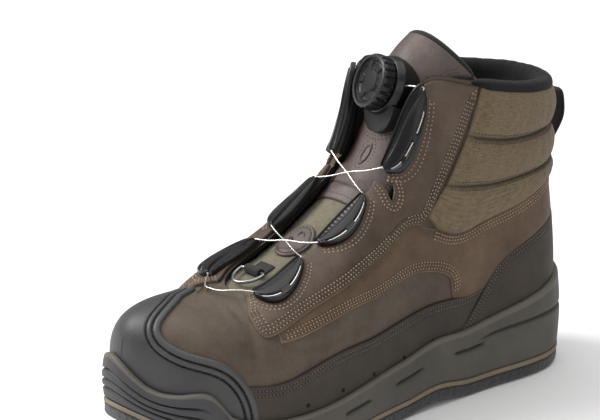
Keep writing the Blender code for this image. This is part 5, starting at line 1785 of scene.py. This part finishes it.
def on_tongue(at, across):
    """Points on the tongue's face, for arrays. across runs from -1 at its inner edge to 1 at its outer edge."""
    at, across = np.broadcast_arrays(np.asarray(at, float), np.asarray(across, float))
    line = np.stack([np.interp(at, TONGUE_AT, TONGUE_LINES[:, k]) for k in range(6)], axis=-1)
    half, drop = np.interp(at, TONGUE_AT, TONGUE_HALVES), np.interp(at, TONGUE_AT, TONGUE_DROPS)
    point = line[..., :3] - line[..., 3:] * (drop * across**2)[..., None]
    point[..., 0] += across * half
    return point


def tongue_out(at, across):
    step = 0.004
    at, across = np.broadcast_arrays(np.asarray(at, float), np.asarray(across, float))
    along = on_tongue(np.minimum(at + step, 1), across) - on_tongue(np.maximum(at - step, 0), across)
    side = on_tongue(at, np.minimum(across + 0.02, 1.02)) - on_tongue(at, np.maximum(across - 0.02, -1.02))
    return unit(np.cross(side, along))


def frame_at(at, across=0.0, lift=0.0):
    """Origin and axes of a piece that stands on the tongue: its x is the boot's, its z faces out."""
    facing = tongue_line(at)[1]
    origin = on_tongue(at, across) + facing * lift
    right = np.array([1.0, 0.0, 0.0])
    return origin, right, np.cross(facing, right), facing


def tongue_swell(at, across):
    """The padding's gentle rise, with soft ripples where the tongue bends."""
    swell = 0.0009 * (1 - np.abs(across) ** 3) * ease(at, 0.02, 0.12)
    return swell + 0.00035 * np.sin(at * 46 + across * 1.4) * bell(at, 0.55, 0.14)


def tongue_sheet(name, start, end, low, thick, look, slot, *nodes, seams=()):
    at, across = np.meshgrid(np.linspace(start, end, 170), np.linspace(-1, 1, 46), indexing="ij")
    point, out = on_tongue(at, across), tongue_out(at, across)
    away = np.minimum(at - start, end - at) * TONGUE_LENGTH
    away = np.minimum(away, (1 - np.abs(across)) * TONGUE_WIDTH * 0.4)
    height = low + thick * (0.3 + 0.7 * rounded(away / 0.0012)) + tongue_swell(at, across)
    seam = np.zeros_like(height)
    for where, deep, half in seams:
        dip = bell(at, where, half)
        height = height - deep * dip
        seam = np.maximum(seam, dip)
    top = point + out * height[..., None]
    if low > 0:
        back = point + out * (low + tongue_swell(at, across) - 0.0004)[..., None]
    else:
        back = point - out * TONGUE
    uv = np.stack([point[..., 0], at * TONGUE_LENGTH], axis=-1)
    rim = (1 - ease(away, 0.0003, 0.0009)) * (low > 0)
    return settle(slab(name, top, back, look, {"seam": seam, "rim": rim}, uv, 70), slot, *nodes)


def tongue_height(at, across, low):
    return low + tongue_swell(at, across)


def tongue_stitch(kind, at, across, low, **options):
    at, across = np.broadcast_arrays(np.asarray(at, float), np.asarray(across, float))
    out = tongue_out(at, across)
    stitches(kind, on_tongue(at, across) + out * tongue_height(at, across, low)[..., None], out, **options)


def make_tongue():
    base = tongue_sheet("tongue_pad", 0.0, 1.0, 0.0, 0.0, LOOK["tongue canvas"], "canvas", "tongue")
    face = CLEARANCE + TONGUE_LEATHER
    tongue_sheet(
        "tongue_cover", LEATHER_FROM, 0.992, CLEARANCE, TONGUE_LEATHER, LOOK["tongue"], "leather",
        "tongue_leather", seams=[(0.572, 0.0004, 0.003)],
    )
    across = np.linspace(-0.96, 0.96, 80)
    tongue_stitch("thread dark", 0.545, across, face, pitch=0.0024, thread=0.0003)
    for away in (0.90, 0.84):
        at = np.linspace(0.56, 0.96, 120)
        tongue_stitch("thread dark", at, away, face, thread=0.0003)
    # Binding round the top edge
    at = np.concatenate([np.linspace(0.80, 0.985, 40), np.full(60, 0.997), np.linspace(0.985, 0.80, 40)])
    turn = np.linspace(-0.97, 0.97, 60)
    across = np.concatenate([np.full(40, -0.995), turn, np.full(40, 0.995)])
    smooth = np.column_stack([at, across])
    for _ in range(14):
        smooth[1:-1] = (smooth[:-2] + 2 * smooth[1:-1] + smooth[2:]) / 4
    out = tongue_out(smooth[:, 0], smooth[:, 1])
    lift = tongue_swell(smooth[:, 0], smooth[:, 1]) - 0.0011
    path = on_tongue(smooth[:, 0], smooth[:, 1]) + out * lift[:, None]
    points, faces = tube_mesh(path, 0.0026, 14)
    points = np.array(points)
    binding = mesh_from("tongue_binding", points, faces, LOOK["binding"], 60, uv=points[:, [0, 2]])
    settle(binding, "webbing")
    make_patch()
    make_slot(face)


def ellipse_on_tongue(at, across, long, wide, angles, turn=0.0):
    """Places on a curve round a middle. long and wide are its half sizes in metres."""
    x, y = wide * np.cos(angles), long * np.sin(angles)
    x, y = x * math.cos(turn) - y * math.sin(turn), x * math.sin(turn) + y * math.cos(turn)
    half = np.interp(at, TONGUE_AT, TONGUE_HALVES)
    step = np.linalg.norm(on_tongue(at + 0.01, 0.0) - on_tongue(at - 0.01, 0.0)) / 0.02
    return at + y / step, across + x / half


PATCH_RINGS = (0.0, 0.15, 0.3, 0.45, 0.6, 0.72, 0.80, 0.84, 0.88, 0.93, 0.97, 0.99, 1.0)


def make_patch():
    """The oval leather patch that keeps the lower crossing, sewn down round its edge."""
    angles = np.linspace(0, 2 * math.pi, 73)[:-1]
    rings = []
    long, wide = PATCH_LONG / 2, PATCH_WIDE / 2
    for share in PATCH_RINGS:
        size = max(share, 0.001)
        at, across = ellipse_on_tongue(PATCH_AT, 0.0, size * long, size * wide, angles)
        rise = CLEARANCE + TONGUE_LEATHER * (0.35 + 0.65 * rounded((1 - share) / 0.07))
        rise += 0.0010 * (1 - share**2) - 0.0004 * bell(share, 0.84, 0.03)
        out = tongue_out(at, across)
        rings.append(on_tongue(at, across) + out * (rise + tongue_swell(at, across))[:, None])
    low = on_tongue(at, across) + tongue_out(at, across) * (tongue_swell(at, across) + 0.0001)[:, None]
    rings.append(low)
    count = len(angles)
    faces = ring_faces(len(rings), count, 0, len(rings) - 1)
    points = np.vstack(rings)
    rim = np.concatenate([np.full(count, 1.0 if k >= 11 else 0.0) for k in range(len(rings))])
    seam = np.concatenate([np.full(count, 0.8 if k == 7 else 0.0) for k in range(len(rings))])
    patch = mesh_from("tongue_keeper", points, faces, LOOK["tongue"], 60, marks={"rim": rim, "seam": seam})
    settle(patch, "leather", "tongue_patch")
    loop = np.linspace(0, 2 * math.pi, 120)
    at, across = ellipse_on_tongue(PATCH_AT, 0.0, 0.84 * long, 0.84 * wide, loop)
    out = tongue_out(at, across)
    lift = CLEARANCE + TONGUE_LEATHER + 0.0001 + tongue_swell(at, across)
    stitches("thread dark", on_tongue(at, across) + out * lift[:, None], out, pitch=0.0022, thread=0.00028)
    # The keeper's two small rings, which the wires pass through
    parts = []
    for at, across, turn in ((PATCH_AT + 0.016, 0.10, 0.5), (PATCH_AT - 0.012, -0.10, -0.4)):
        angle = np.linspace(0, 2 * math.pi, 29)[:-1]
        a, c = ellipse_on_tongue(at, across, 0.0030, 0.0019, angle, turn)
        lift = CLEARANCE + TONGUE_LEATHER + 0.0013 + 0.0007 * np.sin(angle)
        parts.append(tube_mesh(on_tongue(a, c) + tongue_out(a, c) * lift[:, None], 0.0006, 8, closed=True))
    settle(join_parts("keeper_rings", parts, LOOK["plastic"]), "plastic")


SLOT_AT = 0.655
SLOT_LONG = 0.0075
SLOT_WIDE = 0.0026
SLOT_TURN = -0.15
SLOT_ROW_LONG = 0.0098
SLOT_ROW_WIDE = 0.0046
# From the slot's rim inward, as a share of its size and a height over the leather
SLOT_PROFILE = [(1.0, 0.0002), (0.90, 0.0007), (0.72, 0.0005), (0.55, -0.0004), (0.2, -0.0007)]


def make_slot(face):
    """The sewn slot in the tongue's leather, which the upper crossing runs over."""
    angles = np.linspace(0, 2 * math.pi, 49)[:-1]
    rings = []
    for share, rise in SLOT_PROFILE:
        at, across = ellipse_on_tongue(SLOT_AT, 0.0, SLOT_LONG * share, SLOT_WIDE * share, angles, SLOT_TURN)
        lift = face + rise + tongue_swell(at, across)
        rings.append(on_tongue(at, across) + tongue_out(at, across) * lift[:, None])
    count = len(angles)
    faces = ring_faces(len(rings), count, len(rings) - 1)
    # The recessed rings inside the slot are painted dark: painted shade in its opening.
    seam = np.concatenate([np.full(count, 1.0 if k >= 3 else 0.25) for k in range(len(rings))])
    points = np.vstack(rings)
    marks = {"rim": np.zeros(len(points)), "seam": seam}
    settle(mesh_from("tongue_slot", points, faces, LOOK["tongue"], 60, marks=marks), "leather")
    loop = np.linspace(0, 2 * math.pi, 90)
    at, across = ellipse_on_tongue(SLOT_AT, 0.0, SLOT_ROW_LONG, SLOT_ROW_WIDE, loop, SLOT_TURN)
    tongue_stitch("thread dark", at, across, face, pitch=0.0021, thread=0.00028)


# Lace guides and wires
GUIDE_BASE = EYESTAY + 2 * CLEARANCE
# Openings along a guide's arc that show the wire, and where they lie across it
SLOTS = {
    "top": [(0.10, 0.32), (0.40, 0.62), (0.70, 0.92)],
    "middle": [(0.08, 0.40), (0.56, 0.92)],
    "low": [(0.08, 0.40), (0.56, 0.92)],
}
SLOT_PLACE = 0.215
SLOT_FLOOR = 0.52
GUIDE_SKEW = {"top": -0.012, "middle": -0.004, "low": 0.004}
# Relief across a guide, from its outer arc to its chord: a share of the way, and a share of its height
GUIDE_RELIEF = [
    (0.0, 0.10), (0.015, 0.62), (0.04, 0.86), (0.07, 0.96), (0.11, 0.97), (0.14, 0.86), (0.16, 0.84),
    (0.27, 0.84), (0.29, 0.90), (0.32, 0.93), (0.56, 0.93), (0.58, 0.92), (0.60, 1.0), (0.63, 1.0),
    (0.65, 0.80), (0.67, 0.50), (0.72, 0.42), (0.90, 0.42), (0.93, 0.62), (0.96, 0.68), (0.985, 0.60),
    (1.0, 0.25),
]


def guide_place(row, share, cross):
    """A place on the upper: share runs along the guide, cross from its outer arc to its chord at the throat."""
    start, start_up, end, end_up, deep = GUIDES[row]
    bulge = np.sin(np.pi * (0.03 + 0.94 * share)) ** 0.55
    high = start_up + (end_up - start_up) * share + 0.012 + 0.038 * bulge
    skew = GUIDE_SKEW[row] * (1 - cross) * bulge
    return start + (end - start) * share + skew, high - (deep * 1.20 + 0.050) * bulge * (1 - cross)


def slot_depth(row, share):
    depth = np.zeros_like(share)
    for start, end in SLOTS[row]:
        depth = np.maximum(depth, ease(share, start, start + 0.015) * ease(-share, -end, -end + 0.015))
    return depth


def make_guide(row, name, side):
    start, end = [0, 0.004, 0.010, 0.018], [0.982, 0.990, 0.996, 1.0]
    shares = np.concatenate([start, np.linspace(0.028, 0.972, 92), end])
    cross = [c for c, _ in GUIDE_RELIEF] + list(np.linspace(0.16, 0.27, 9)) + list(np.linspace(0.74, 0.94, 7))
    cross = np.array(sorted(set(cross)))
    relief = np.interp(cross, *zip(*GUIDE_RELIEF))
    s, c = np.meshgrid(shares, cross, indexing="ij")
    height = np.broadcast_to(relief, s.shape).copy()
    height -= 0.50 * slot_depth(row, s) * np.exp(-(((c - SLOT_PLACE) / 0.040) ** 4))
    teeth = 0.5 + 0.5 * np.cos(2 * np.pi * s * 15)
    height -= 0.05 * teeth * np.exp(-(((c - 0.845) / 0.07) ** 4)) * ease(s, 0.12, 0.16) * ease(-s, -0.88, -0.84)
    ends = np.minimum(s, 1 - s)
    height *= 0.45 + 0.55 * rounded(ends / 0.035)
    around, up = guide_place(row, s, c)
    around = on_side(around, side)
    face, out = skin(around, up), skin_out(around, np.minimum(up, 1.0))
    top = face + out * (GUIDE_BASE + GUIDE_HEIGHT * height)[..., None]
    low = face + out * (GUIDE_BASE - 0.0004)
    # rim is a painted highlight along the guide's outer ridge and on the slope of its raised step; seam is
    # painted shade in its low places, the slots and the channel.
    marks = {"rim": 0.5 * bell(c, 0.09, 0.05) + bell(c, 0.68, 0.03), "seam": 1 - ease(height, 0.2, 0.6)}
    guide = slab(f"guide_{row}_{name}", top, low, LOOK["guide"], marks)
    settle(guide, "plastic", f"lace_guide_{row}_{name}")

    def in_slot(shares):
        a, u = guide_place(row, shares, np.full_like(shares, SLOT_PLACE))
        return on_skin(on_side(a, side), u, GUIDE_BASE + GUIDE_HEIGHT * SLOT_FLOOR)

    parts = [
        tube_mesh(in_slot(np.linspace(start + 0.012, end - 0.012, 26)), WIRE / 2) for start, end in SLOTS[row]
    ]
    # The two hidden leads from the arc's ends to the guide's tips
    for end, start in enumerate((SLOTS[row][0][0] + 0.02, SLOTS[row][-1][1] - 0.02)):
        begin, tip = in_slot(np.array([start]))[0], guide_tip(row, end, side)
        parts.append(tube_mesh([begin, (begin + tip) / 2, tip], WIRE / 2))
    settle(join_parts(f"guide_wire_{row}_{name}", parts, LOOK["steel"], 60), "steel")
    stitch_guide(row, side)


def stitch_guide(row, side):
    """Two dotted rows on the eyestay round a guide."""
    share = np.linspace(-0.03, 1.03, 120)
    around, up = guide_place(row, np.clip(share, 0, 1), np.zeros_like(share))
    around = around + (share - np.clip(share, 0, 1)) * 0.1
    for away in (0.0021, 0.0042):
        a, u = inset(around, up, away, mean_up)
        inside = (u < 0.955) & (u > 0.45)
        a, u = on_side(a[inside], side), u[inside]
        stitches("thread tan", on_skin(a, u, SEAT + EYESTAY), skin_out(a, u), pitch=0.0024)


def guide_tip(row, end, side):
    """Where the lace leaves a guide: at its upper end 0 or its lower end 1."""
    around, up = GUIDES[row][2 * end : 2 * end + 2]
    tip, inner = on_upper(on_side(around, side), up), on_upper(on_side(around, side), up - 0.01)
    ahead = on_upper(on_side(around + 0.01, side), up) - on_upper(on_side(around - 0.01, side), up)
    across = (tip - inner) / np.linalg.norm(tip - inner)
    out = -np.cross(ahead, across) * side
    out = out / np.linalg.norm(out)
    return tip + out * (EYESTAY + 2 * CLEARANCE + 0.5 * GUIDE_HEIGHT)


WIRE_LOOK = 0.00045


def throat_point(along, high, across):
    return np.array([across * TONGUE_WIDTH, y_of(along), top_height(high)])


def make_lace():
    for name, (upper_row, lower_row) in CROSSINGS.items():
        parts = []
        for side in SIDES.values():
            start, end = guide_tip(upper_row, 1, side), guide_tip(lower_row, 0, -side)
            middle = (start + end) / 2 + np.array([0, 0, side * WIRE / 4])
            sag = np.array([0, 0.0, -0.0006])
            path = smooth_line([start, (start + middle) / 2 + sag, middle, (middle + end) / 2 + sag, end], 50)
            parts.append(tube_mesh(path, WIRE_LOOK, 12))
        settle(join_parts(f"wire_crossing_{name}", parts, LOOK["steel"], 60), "steel", f"lace_crossing_{name}")
    loop = [guide_tip("low", 1, 1), *(throat_point(*place) for place in LACE_FRONT), guide_tip("low", 1, -1)]
    points, faces = tube_mesh(smooth_line(loop, 110), WIRE_LOOK, 12)
    settle(mesh_from("wire_front", points, faces, LOOK["steel"], 60), "steel", "lace_front")
    origin, right, up, facing = dial_frame()
    for name, side in SIDES.items():
        tip = guide_tip("top", 0, side)
        way = np.array([np.dot(tip - origin, right), np.dot(tip - origin, up)])
        way = way / np.linalg.norm(way)
        start = origin + (right * way[0] + up * way[1]) * (DIAL_RADIUS - 0.001) + facing * 0.3 * DIAL_HEIGHT
        bend = start + (right * way[0] + up * way[1]) * 0.004 + facing * 0.0016
        path = smooth_line([start, bend, (bend + tip) / 2 + facing * 0.0008, tip], 40)
        points, faces = tube_mesh(path, WIRE_LOOK, 12)
        settle(mesh_from(f"wire_top_{name}", points, faces, LOOK["steel"], 60), "steel", f"lace_top_{name}")


# Lace dial
def dial_frame():
    """The dial's own frame: it sits on the tongue, turned a little towards the inner side, in degrees."""
    origin, right, up, facing = frame_at(DIAL_AT)
    turn = math.radians(DIAL_TURN)
    c, s = math.cos(turn), math.sin(turn)
    return origin, right * c - facing * s, up, facing * c + right * s


def turned(frame, profile, sides, ripple=None):
    """Points and faces of a solid turned about a frame's z. profile rows are radius and height."""
    origin, right, up, facing = frame
    points = []
    for level, (radius, height) in enumerate(profile):
        for i in range(sides):
            angle = 2 * math.pi * i / sides
            reach = radius + (ripple(level, i) if ripple else 0.0)
            points.append(origin + reach * (math.cos(angle) * right + math.sin(angle) * up) + height * facing)
    return points, ring_faces(len(profile), sides, 0, len(profile) - 1)


# Profiles from the foot up and inward, as shares of the radius and the height
HOUSING_PROFILE = [
    (0.985, 0.30), (1.0, 0.36), (1.0, 0.46), (0.985, 0.52), (0.95, 0.80), (0.91, 0.95), (0.86, 1.0), (0.5, 1.0),
]
KNOB_PROFILE = [
    (0.88, 0.0), (0.95, 0.02), (0.985, 0.08), (1.0, 0.14), (1.0, 0.30), (1.0, 0.50),
    (1.0, 0.74), (0.985, 0.82), (0.95, 0.92), (0.90, 0.985), (0.87, 1.0), (0.84, 0.985),
    (0.82, 0.90), (0.815, 0.80), (0.80, 0.77), (0.74, 0.77), (0.725, 0.80), (0.70, 0.82),
    (0.60, 0.80), (0.45, 0.80), (0.43, 0.76), (0.40, 0.76), (0.38, 0.82), (0.30, 0.84),
    (0.05, 0.85),
]
# Rows of the knob's profile: its ribbed side, the rows next to it, the rim, which is painted lighter, and the
# pockets in its face
KNOB_SIDE = (3, 4, 5, 6)
KNOB_SHOULDERS = (2, 7)
KNOB_RIM = (8, 9, 10, 11)
KNOB_POCKETS = (17, 18, 19)
POCKETS = 6


def make_dial():
    frame = dial_frame()
    origin, right, up, facing = frame
    sides = 180
    skirt = DIAL_RADIUS * 0.55
    profile = [
        (DIAL_RADIUS * 0.95, -skirt), (DIAL_RADIUS * 0.97, -0.002),
        *((DIAL_RADIUS * reach, DIAL_HEIGHT * height) for reach, height in HOUSING_PROFILE),
    ]
    parts = [turned(frame, profile, sides)]
    base = join_parts("dial_housing", parts, LOOK["guide"], 35)
    for name in ("rim", "seam"):
        base.data.attributes.new(name, "FLOAT", "POINT")
    settle(base, "plastic", "dial_base")
    # The housing's lower tongue, a matte wedge that runs down under the knob
    rows, columns = 26, 41
    t, x = np.meshgrid(np.linspace(0, 1, rows), np.linspace(-1, 1, columns), indexing="ij")
    wide = 0.0155 * np.sqrt(np.clip(1 - (t * 0.96) ** 2.2, 0, 1)) + 0.0005
    y = -0.010 - 0.0165 * t
    high = (DIAL_HEIGHT * 0.80 * (1 - 0.55 * t) + 0.0006) * (1 - 0.28 * np.abs(x) ** 4)
    place = origin + right * (x * wide)[..., None] + up * y[..., None]
    ground = np.array([[surface_under(p, facing) for p in row] for row in place])
    top = place + facing * np.maximum(high, ground + 0.0012)[..., None]
    low = place + facing * (ground - 0.001)[..., None]
    wedge = slab("dial_wedge", top, low, LOOK["matte plastic"], None, None, 45)
    settle(wedge, "plastic")
    bottom = DIAL_HEIGHT + CLEARANCE
    profile = [(KNOB_RADIUS * reach, bottom + KNOB_HEIGHT * height) for reach, height in KNOB_PROFILE]
    steps = KNOB_TEETH * 12

    def knurl(level, i):
        """Ribs in groups round the knob's side; the scalloped pockets in its face are cut after, in make_dial.
        """
        angle = (i / steps) * KNOB_TEETH % 1
        rib = float(ease(np.array(angle), 0.10, 0.22) * ease(np.array(-angle), -0.90, -0.78))
        if level in KNOB_SIDE:
            return -0.0011 * (1 - rib)
        if level in KNOB_SHOULDERS:
            return -0.0006 * (1 - rib)
        return 0.0

    points, faces = turned(frame, profile, steps, knurl)
    points = np.array(points)
    for level in KNOB_POCKETS:
        for i in range(steps):
            turn = (i / steps) * POCKETS % 1
            pocket = float(ease(np.array(turn), 0.16, 0.24) * ease(np.array(-turn), -0.84, -0.76))
            points[level * steps + i] -= facing * 0.0013 * pocket * (1.0 if level == 18 else 0.75)
    rim = np.zeros(len(points))
    for level in KNOB_RIM:
        rim[level * steps : (level + 1) * steps] = 0.8
    seam = np.zeros(len(points))
    knob = mesh_from("dial_knob_ribbed", points, faces, LOOK["knob"], 30, marks={"rim": rim, "seam": seam})
    settle(knob, "plastic", "dial_knob")
    stitch_dial()


def surface_under(point, facing):
    """Height of the tongue's face under a point, along a direction."""
    at = np.interp(point[2], TONGUE_LINES[:, 2], TONGUE_AT)
    for _ in range(3):
        half = float(np.interp(at, TONGUE_AT, TONGUE_HALVES))
        across = point[0] / half
        spot = on_tongue(at, across)
        run = on_tongue(min(at + 0.005, 1), across) - on_tongue(max(at - 0.005, 0), across)
        run_length = float(np.linalg.norm(run))
        run = run / run_length
        gap = point - spot
        at = float(np.clip(at + np.dot(gap - np.dot(gap, facing) * facing, run) * 0.01 / run_length, 0, 1))
    return float(np.dot(on_tongue(at, point[0] / half) - point, facing)) + CLEARANCE + TONGUE_LEATHER


def stitch_dial():
    """The leather's window round the housing: two rows of stitches, longer below, open at the top."""
    angles = np.radians(np.linspace(-222, 42, 150))
    half = np.interp(DIAL_AT, TONGUE_AT, TONGUE_HALVES)
    step = np.linalg.norm(on_tongue(DIAL_AT + 0.01, 0.0) - on_tongue(DIAL_AT - 0.01, 0.0)) / 0.02
    for away in (0.0022, 0.0042):
        radius = DIAL_RADIUS + away
        long = np.where(np.sin(angles) < 0, radius + 0.0085, radius)
        a, c = DIAL_AT + np.sin(angles) * long / step, radius * np.cos(angles) / half
        inside = np.abs(c) < 0.93
        a, c = a[inside], c[inside]
        cuts = np.where(np.diff(np.where(inside)[0]) > 1)[0]
        for part in np.split(np.arange(len(a)), cuts + 1):
            if len(part) > 6:
                leather_top = CLEARANCE + TONGUE_LEATHER
                tongue_stitch("thread dark", a[part], c[part], leather_top, pitch=0.0024, thread=0.0003)


# Front ring and loops
def make_d_ring():
    origin, right, up, facing = frame_at(D_RING_AT, 0.0, D_RING_LIFT)
    forward = -up
    tilt = math.radians(D_RING_SLOPE)
    reach = forward * math.cos(tilt) - facing * math.sin(tilt)
    half, bow = D_RING_WIDTH / 2, D_RING_DEPTH
    path = [origin + right * half * x for x in np.linspace(-0.80, 0.80, 21)]
    for i in range(1, 64):
        angle = math.pi * i / 64
        depth = 0.14 * math.sin(angle) ** 0.35 + 0.86 * math.sin(angle)
        path.append(origin + right * half * math.cos(angle) + reach * depth * bow)
    points, faces = tube_mesh(path, D_RING_WIRE / 2, 16, closed=True)
    settle(mesh_from("front_ring", points, faces, LOOK["ring steel"], 70), "steel", "d_ring", body="d_ring")
    middle = D_RING_WIRE / 2 + WEBBING_PLAY + WEBBING / 2
    end = WEBBING_TAIL
    band = [(end, -middle), (end * 0.6, -middle)]
    band += [(middle * math.cos(a), middle * math.sin(a)) for a in np.radians(np.linspace(-90, 250, 49))]
    band = [origin + up * y + facing * z for y, z in band]
    strip("ring_loop", band, right, WEBBING_WIDTH, WEBBING, LOOK["webbing"], "d_ring_loop")


def strip(name, path, right, width, thick, look, *nodes, slot="webbing"):
    """A woven band along a path, with rounded edges and raised selvedges."""
    path = np.array(path)
    run = np.gradient(path, axis=0)
    normal = unit(np.cross(run, right))
    across = np.linspace(-1, 1, 15)
    edge = np.sqrt(np.clip(1 - np.clip((np.abs(across) - 0.90) / 0.10, 0, 1) ** 2, 0, 1))
    raised = 1 + 0.12 * np.exp(-(((np.abs(across) - 0.88) / 0.05) ** 2))
    high = thick / 2 * (0.35 + 0.65 * edge) * raised
    top = path[:, None] + right * (across * width / 2)[None, :, None] + normal[:, None] * high[None, :, None]
    low = path[:, None] + right * (across * width / 2)[None, :, None] - normal[:, None] * high[None, :, None]
    uv = np.stack(np.broadcast_arrays((across * width / 2)[None, :], run_along(path)[:, None]), axis=-1)
    return settle(slab(name, top, low, look, None, uv, 60), slot, *nodes)


def make_pull_loop():
    seats = []
    for g in PULL_LOOP_ENDS:
        around, up = cuff_place(np.array([0.0]), np.array([g]))
        fill = math.sin(math.pi * ((g * 3) % 1)) ** 0.6
        height = CUFF + CUFF_ROLL * fill * (0.55 + 0.45 * float(ease(g, 0.1, 0.7)))
        off = np.array([0, height + CLEARANCE + PULL_LOOP / 2, 0])
        seats.append(on_upper(float(around[0]), float(up[0])) + off)
    turn = [np.array([0.0, y_of(along), top_height(high)]) for along, high in PULL_LOOP_TURN]
    path, sideways = smooth_line([seats[0], *turn, seats[1]], 80), np.array([1.0, 0, 0])
    strip("pull_loop_band", path, sideways, PULL_LOOP_WIDTH, PULL_LOOP, LOOK["webbing"], "pull_loop")
    run = np.gradient(path, axis=0)
    normal = unit(np.cross(run, [1.0, 0, 0]))
    if normal[40][1] < 0:
        normal = -normal
    for x in (-0.38, 0.38):
        line = path + np.array([x * PULL_LOOP_WIDTH, 0, 0]) + normal * PULL_LOOP / 2
        stitches("thread black", line[3:-3], normal[3:-3], pitch=0.0028, thread=0.00032)


# Stage
def make_threads():
    for kind, (points, faces) in THREADS.items():
        obj = mesh_from(kind.replace(" ", "_"), points, faces, LOOK[kind], 0)
        obj.data.shade_smooth()
        settle(obj, "webbing")


def area_light(name, place, target, size, power, color=(1, 1, 1)):
    data = bpy.data.lights.new(name, "AREA")
    data.shape = "RECTANGLE"
    data.size, data.size_y = size
    data.energy = power
    data.color = color
    light = bpy.data.objects.new(name, data)
    bpy.context.scene.collection.objects.link(light)
    light.location = place
    light.rotation_mode = "QUATERNION"
    light.rotation_quaternion = (Vector(target) - Vector(place)).to_track_quat("-Z", "Y")
    return light


def make_stage():
    look = Look("floor", (0.9, 0.9, 0.9), 0.7, Specular_IOR_Level=0.1)
    look.color(look.ramp(look.noise(3, 2, 0.5), [(0.3, (0.90, 0.90, 0.90)), (0.7, (0.93, 0.93, 0.93))]))
    corners = [(-6, -6, 0), (6, -6, 0), (6, 6, 0), (-6, 6, 0)]
    floor = mesh_from("floor", corners, [(0, 1, 2, 3)], look.material, 0)
    world = bpy.data.worlds.new("Studio")
    bpy.context.scene.world = world
    world.use_nodes = True
    world.node_tree.nodes["Background"].inputs["Color"].default_value = (1.0, 1.0, 1.0, 1)
    world.node_tree.nodes["Background"].inputs["Strength"].default_value = 0.26
    middle = (0, 0, 0.09)
    area_light("key", (-1.15, -1.0, 1.5), middle, (1.1, 1.1), 48)
    area_light("top", (-0.1, 0.2, 1.9), middle, (2.2, 2.2), 28)
    area_light("side", (1.5, -0.6, 0.8), middle, (1.2, 1.2), 7)
    bpy.context.scene.view_settings.view_transform = "Standard"


def make_camera():
    a, e = math.radians(AZIMUTH), math.radians(ELEVATION)
    back = Vector((math.sin(a) * math.cos(e), -math.cos(a) * math.cos(e), math.sin(e)))
    right = Vector((math.cos(a), math.sin(a), 0))
    up = back.cross(right)
    data = bpy.data.cameras.new("Camera")
    data.sensor_width = SENSOR
    data.lens = FOCAL / PHOTO_WIDTH * SENSOR
    data.clip_start, data.clip_end = 0.05, 50
    camera = bpy.data.objects.new("Camera", data)
    bpy.context.scene.collection.objects.link(camera)
    camera.location = Vector(TARGET) + right * EYE_RIGHT + up * EYE_UP + back * EYE_BACK
    camera.rotation_mode = "QUATERNION"
    camera.rotation_quaternion = (-back).to_track_quat("-Z", "Y")
    bpy.context.scene.camera = camera


make_upper()
make_toe_cap()
make_counter()
for side_name, side_sign in SIDES.items():
    make_rand(side_name, side_sign)
    make_quarter(side_name, side_sign)
    make_eyestay(side_name, side_sign)
make_cuff()
make_collar()
make_midsole()
make_sole()
make_tongue()
for guide_row in GUIDES:
    for side_name, side_sign in SIDES.items():
        make_guide(guide_row, side_name, side_sign)
make_lace()
make_dial()
make_d_ring()
make_pull_loop()
make_threads()
make_stage()
make_camera()
